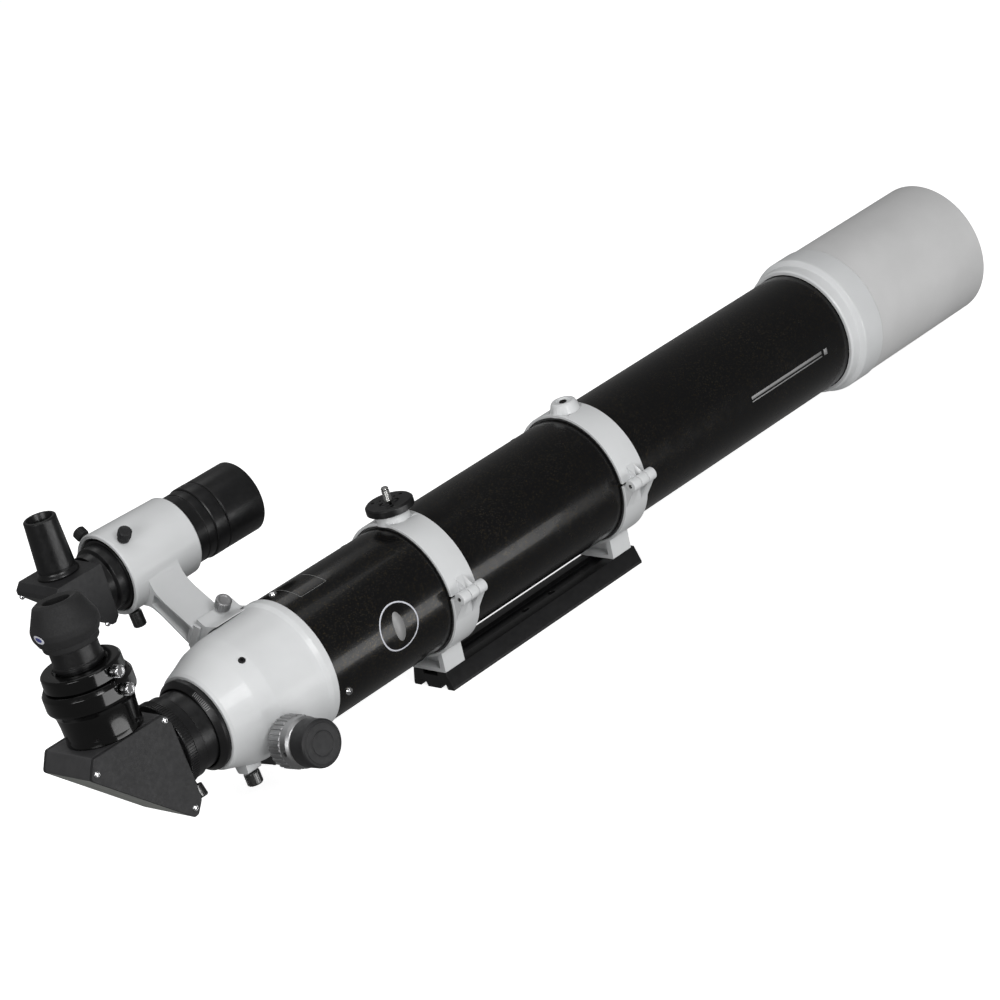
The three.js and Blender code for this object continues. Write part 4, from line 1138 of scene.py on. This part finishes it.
def make_finder():
    axis = FINDER @ LENGTHWISE
    tube = [
        (-292.4, 17), (-292.4, 22), (-286, 22, 0.5), (-284.6, 24.8, 0.5), (-277, 25, 0),
        (-277, 27.4, 0.5), (-272, 27.4, 0.5), (-271, 26), (-217, 26), (-216, 28.6), (-213, 28.6),
        (-212, 27.4), (-202.2, 27.4, 0.2), (-202, 26.9, 0.1), (-200.6, 26.9, 0.1), (-200.4, 27.4, 0.2),
        (-193.3, 27.4), (-193.3, 25), (-166, 25), (-166, 23.4), (-284, 23.4), (-284, 17),
    ]
    stands_for(turned("finder_tube_body", tube, axis, BLACK, 0.25, 128), "finder_tube")
    ring = [(-193, 25.4), (-193, 27.6), (-192.2, 28.4), (-182, 28.4), (-181.2, 27.6), (-181.2, 25.4)]
    stands_for(turned("finder_ring_body", ring, axis, BLACK, 0.2, ridges=(90, 0.3, -192, -182.2)),
               "finder_lock_ring")
    cell = [
        (-180.9, 25.4), (-180.9, 27.6), (-180, 28.3, 0.4), (-146.8, 28.3, 0.6), (-145.7, 27.4, 0.4),
        (-145.7, 26.8, 0.2), (-157, 26.2), (-157, 22.5), (-160, 22.5), (-160, 25.4),
    ]
    stands_for(turned("finder_cell_body", cell, axis, BLACK, 0.2, 128), "finder_objective_cell")
    lens_piece("finder_lens", "finder_objective_lens", 25.8, -155.4, 1.2, -152, 1.4, axis)


HOUSING = [
    (21, 20.5, 1.5), (21, -21, 1.5), (17, -25, 1.5), (13.5, -25, 1.5), (-23.5, 12, 1.5),
    (-23.5, 15.5, 1.5), (-19, 20.5, 1.5),
]
HOUSING_SCREWS = [(across, along) for along in (-23.6, 23.6) for across in (-21.4, 21.4)]


def make_prism_housing():
    eye = FINDER @ shifted(x=FINDER_EYE_X)
    side = eye @ SIDEWAYS
    body = prism("prism_housing_body", HOUSING, (-24, 24), side, SATIN_BLACK, rounding=1.5, edge=0)
    hollow = [(17, 17), (17, -18.5), (14.6, -18.5), (-19.5, 15.6), (-18.4, 17)]
    carved(body, prism("hollow", hollow, (-19, 19), side, HOLE_SHADE, rounding=0, edge=0),
           hole(15, (10, 40), eye @ LENGTHWISE, 64), hole(9, (10, 40), eye, 48))
    soften(body, 1.4)
    stands_for(body, "finder_prism_housing")
    slope = eye @ shifted(x=-5, z=-6.5) @ spun("Y", -135)
    for i, (across, along) in enumerate(HOUSING_SCREWS):
        seat = slope @ shifted(x=along, y=across)
        socket_screw(f"housing_screw_{i}", "finder_prism_housing", seat, CHROME, 2.1, 2.2, 1)
    eyepiece = [
        (20.8, 9), (20.8, 15.2, 0.4), (21.8, 15.6, 0.6), (22.8, 15, 0.6), (23.8, 14.1, 0.6),
        (25, 13.6, 0.5), (27, 13.9, 0.5), (61.6, 12.2, 0.5), (63.6, 12.2, 0.5), (64.4, 11.4, 0.5),
        (64.4, 9.8, 0.4), (60, 8.4), (24, 8.4),
    ]
    stands_for(turned("finder_eyepiece_body", eyepiece, eye, BLACK, 0.3, 96), "finder_eyepiece")
    glass = turned("finder_eye_glass", [(56, 0), (56, 8.6), (58, 8.6), (58.8, 4, 1), (59, 0)], eye,
                   GLASS, 0.1, 48)
    dresses(glass, "finder_eyepiece")


make_shoe()
make_bracket()
make_bracket_screws()
make_finder()
make_prism_housing()


# ---- floor, light and camera ----
FLOOR_REACH = 40  # metres each way, so that its edge is never in view


def make_stage():
    data = bpy.data.meshes.new("floor")
    corners = [(x * FLOOR_REACH, y * FLOOR_REACH, 0) for x, y in ((-1, -1), (1, -1), (1, 1), (-1, 1))]
    data.from_pydata(corners, [], [(0, 1, 2, 3)])
    floor = bpy.data.objects.new("floor", data)
    look = Nodes("floor_paper")
    look.set(Base_Color=look.blend(look.noise(400), (0.86, 0.86, 0.86), (0.88, 0.88, 0.88)))
    look.set(Roughness=0.9, Emission_Color=(1, 1, 1, 1), Emission_Strength=0.8)
    data.materials.append(look.material)
    bpy.context.scene.collection.objects.link(floor)
    floor.visible_diffuse = False  # the paper gives the telescope no light from below
    floor.visible_glossy = False
    floor.visible_shadow = False


def soft_light(name, place, target, size, power):
    lamp = bpy.data.lights.new(name, "AREA")
    lamp.shape = "RECTANGLE"
    lamp.size, lamp.size_y = size
    lamp.energy = power
    light = bpy.data.objects.new(name, lamp)
    light.location = place
    light.rotation_euler = (Vector(target) - Vector(place)).to_track_quat("-Z", "Y").to_euler()
    bpy.context.scene.collection.objects.link(light)


def make_lights():
    world = bpy.data.worlds.new("studio")
    bpy.context.scene.world = world
    world.use_nodes = True
    world.node_tree.nodes["Background"].inputs["Color"].default_value = (1, 1, 1, 1)
    world.node_tree.nodes["Background"].inputs["Strength"].default_value = 0.16
    soft_light("key", (-0.75, -2.35, 1.45), (0, 0, 0.1), (0.75, 1.15), 34)
    soft_light("fill", (-2.6, -0.9, 1.0), (0, 0, 0.1), (1.2, 1.2), 30)
    soft_light("overhead", (-0.2, -0.3, 2.6), (0, 0, 0.1), (2.6, 1.8), 13)
    soft_light("back", (0.1, 1.5, 2.2), (0, 0, 0.1), (2.2, 0.9), 9)
    soft_light("low_right", (0.4, -2.2, -0.6), (0, 0, 0.1), (2.2, 0.8), 22)


CAMERA_AT = Vector((-1.4262, -1.7586, 0.9673))
CAMERA_TARGET = Vector((0.005, 0, 0.1016))
CAMERA_ROLL = 16.5  # degrees, clockwise as the camera sees it
LENS = 115.95


def make_camera():
    data = bpy.data.cameras.new("camera")
    data.lens = LENS
    data.sensor_width = 36
    camera = bpy.data.objects.new("camera", data)
    look = (CAMERA_TARGET - CAMERA_AT).to_track_quat("-Z", "Y").to_matrix().to_4x4()
    roll = spun("Z", -CAMERA_ROLL)
    camera.matrix_world = Matrix.Translation(CAMERA_AT) @ look @ roll
    bpy.context.scene.collection.objects.link(camera)
    bpy.context.scene.camera = camera


make_stage()
make_lights()
make_camera()
bpy.context.scene.view_settings.view_transform = "Standard"
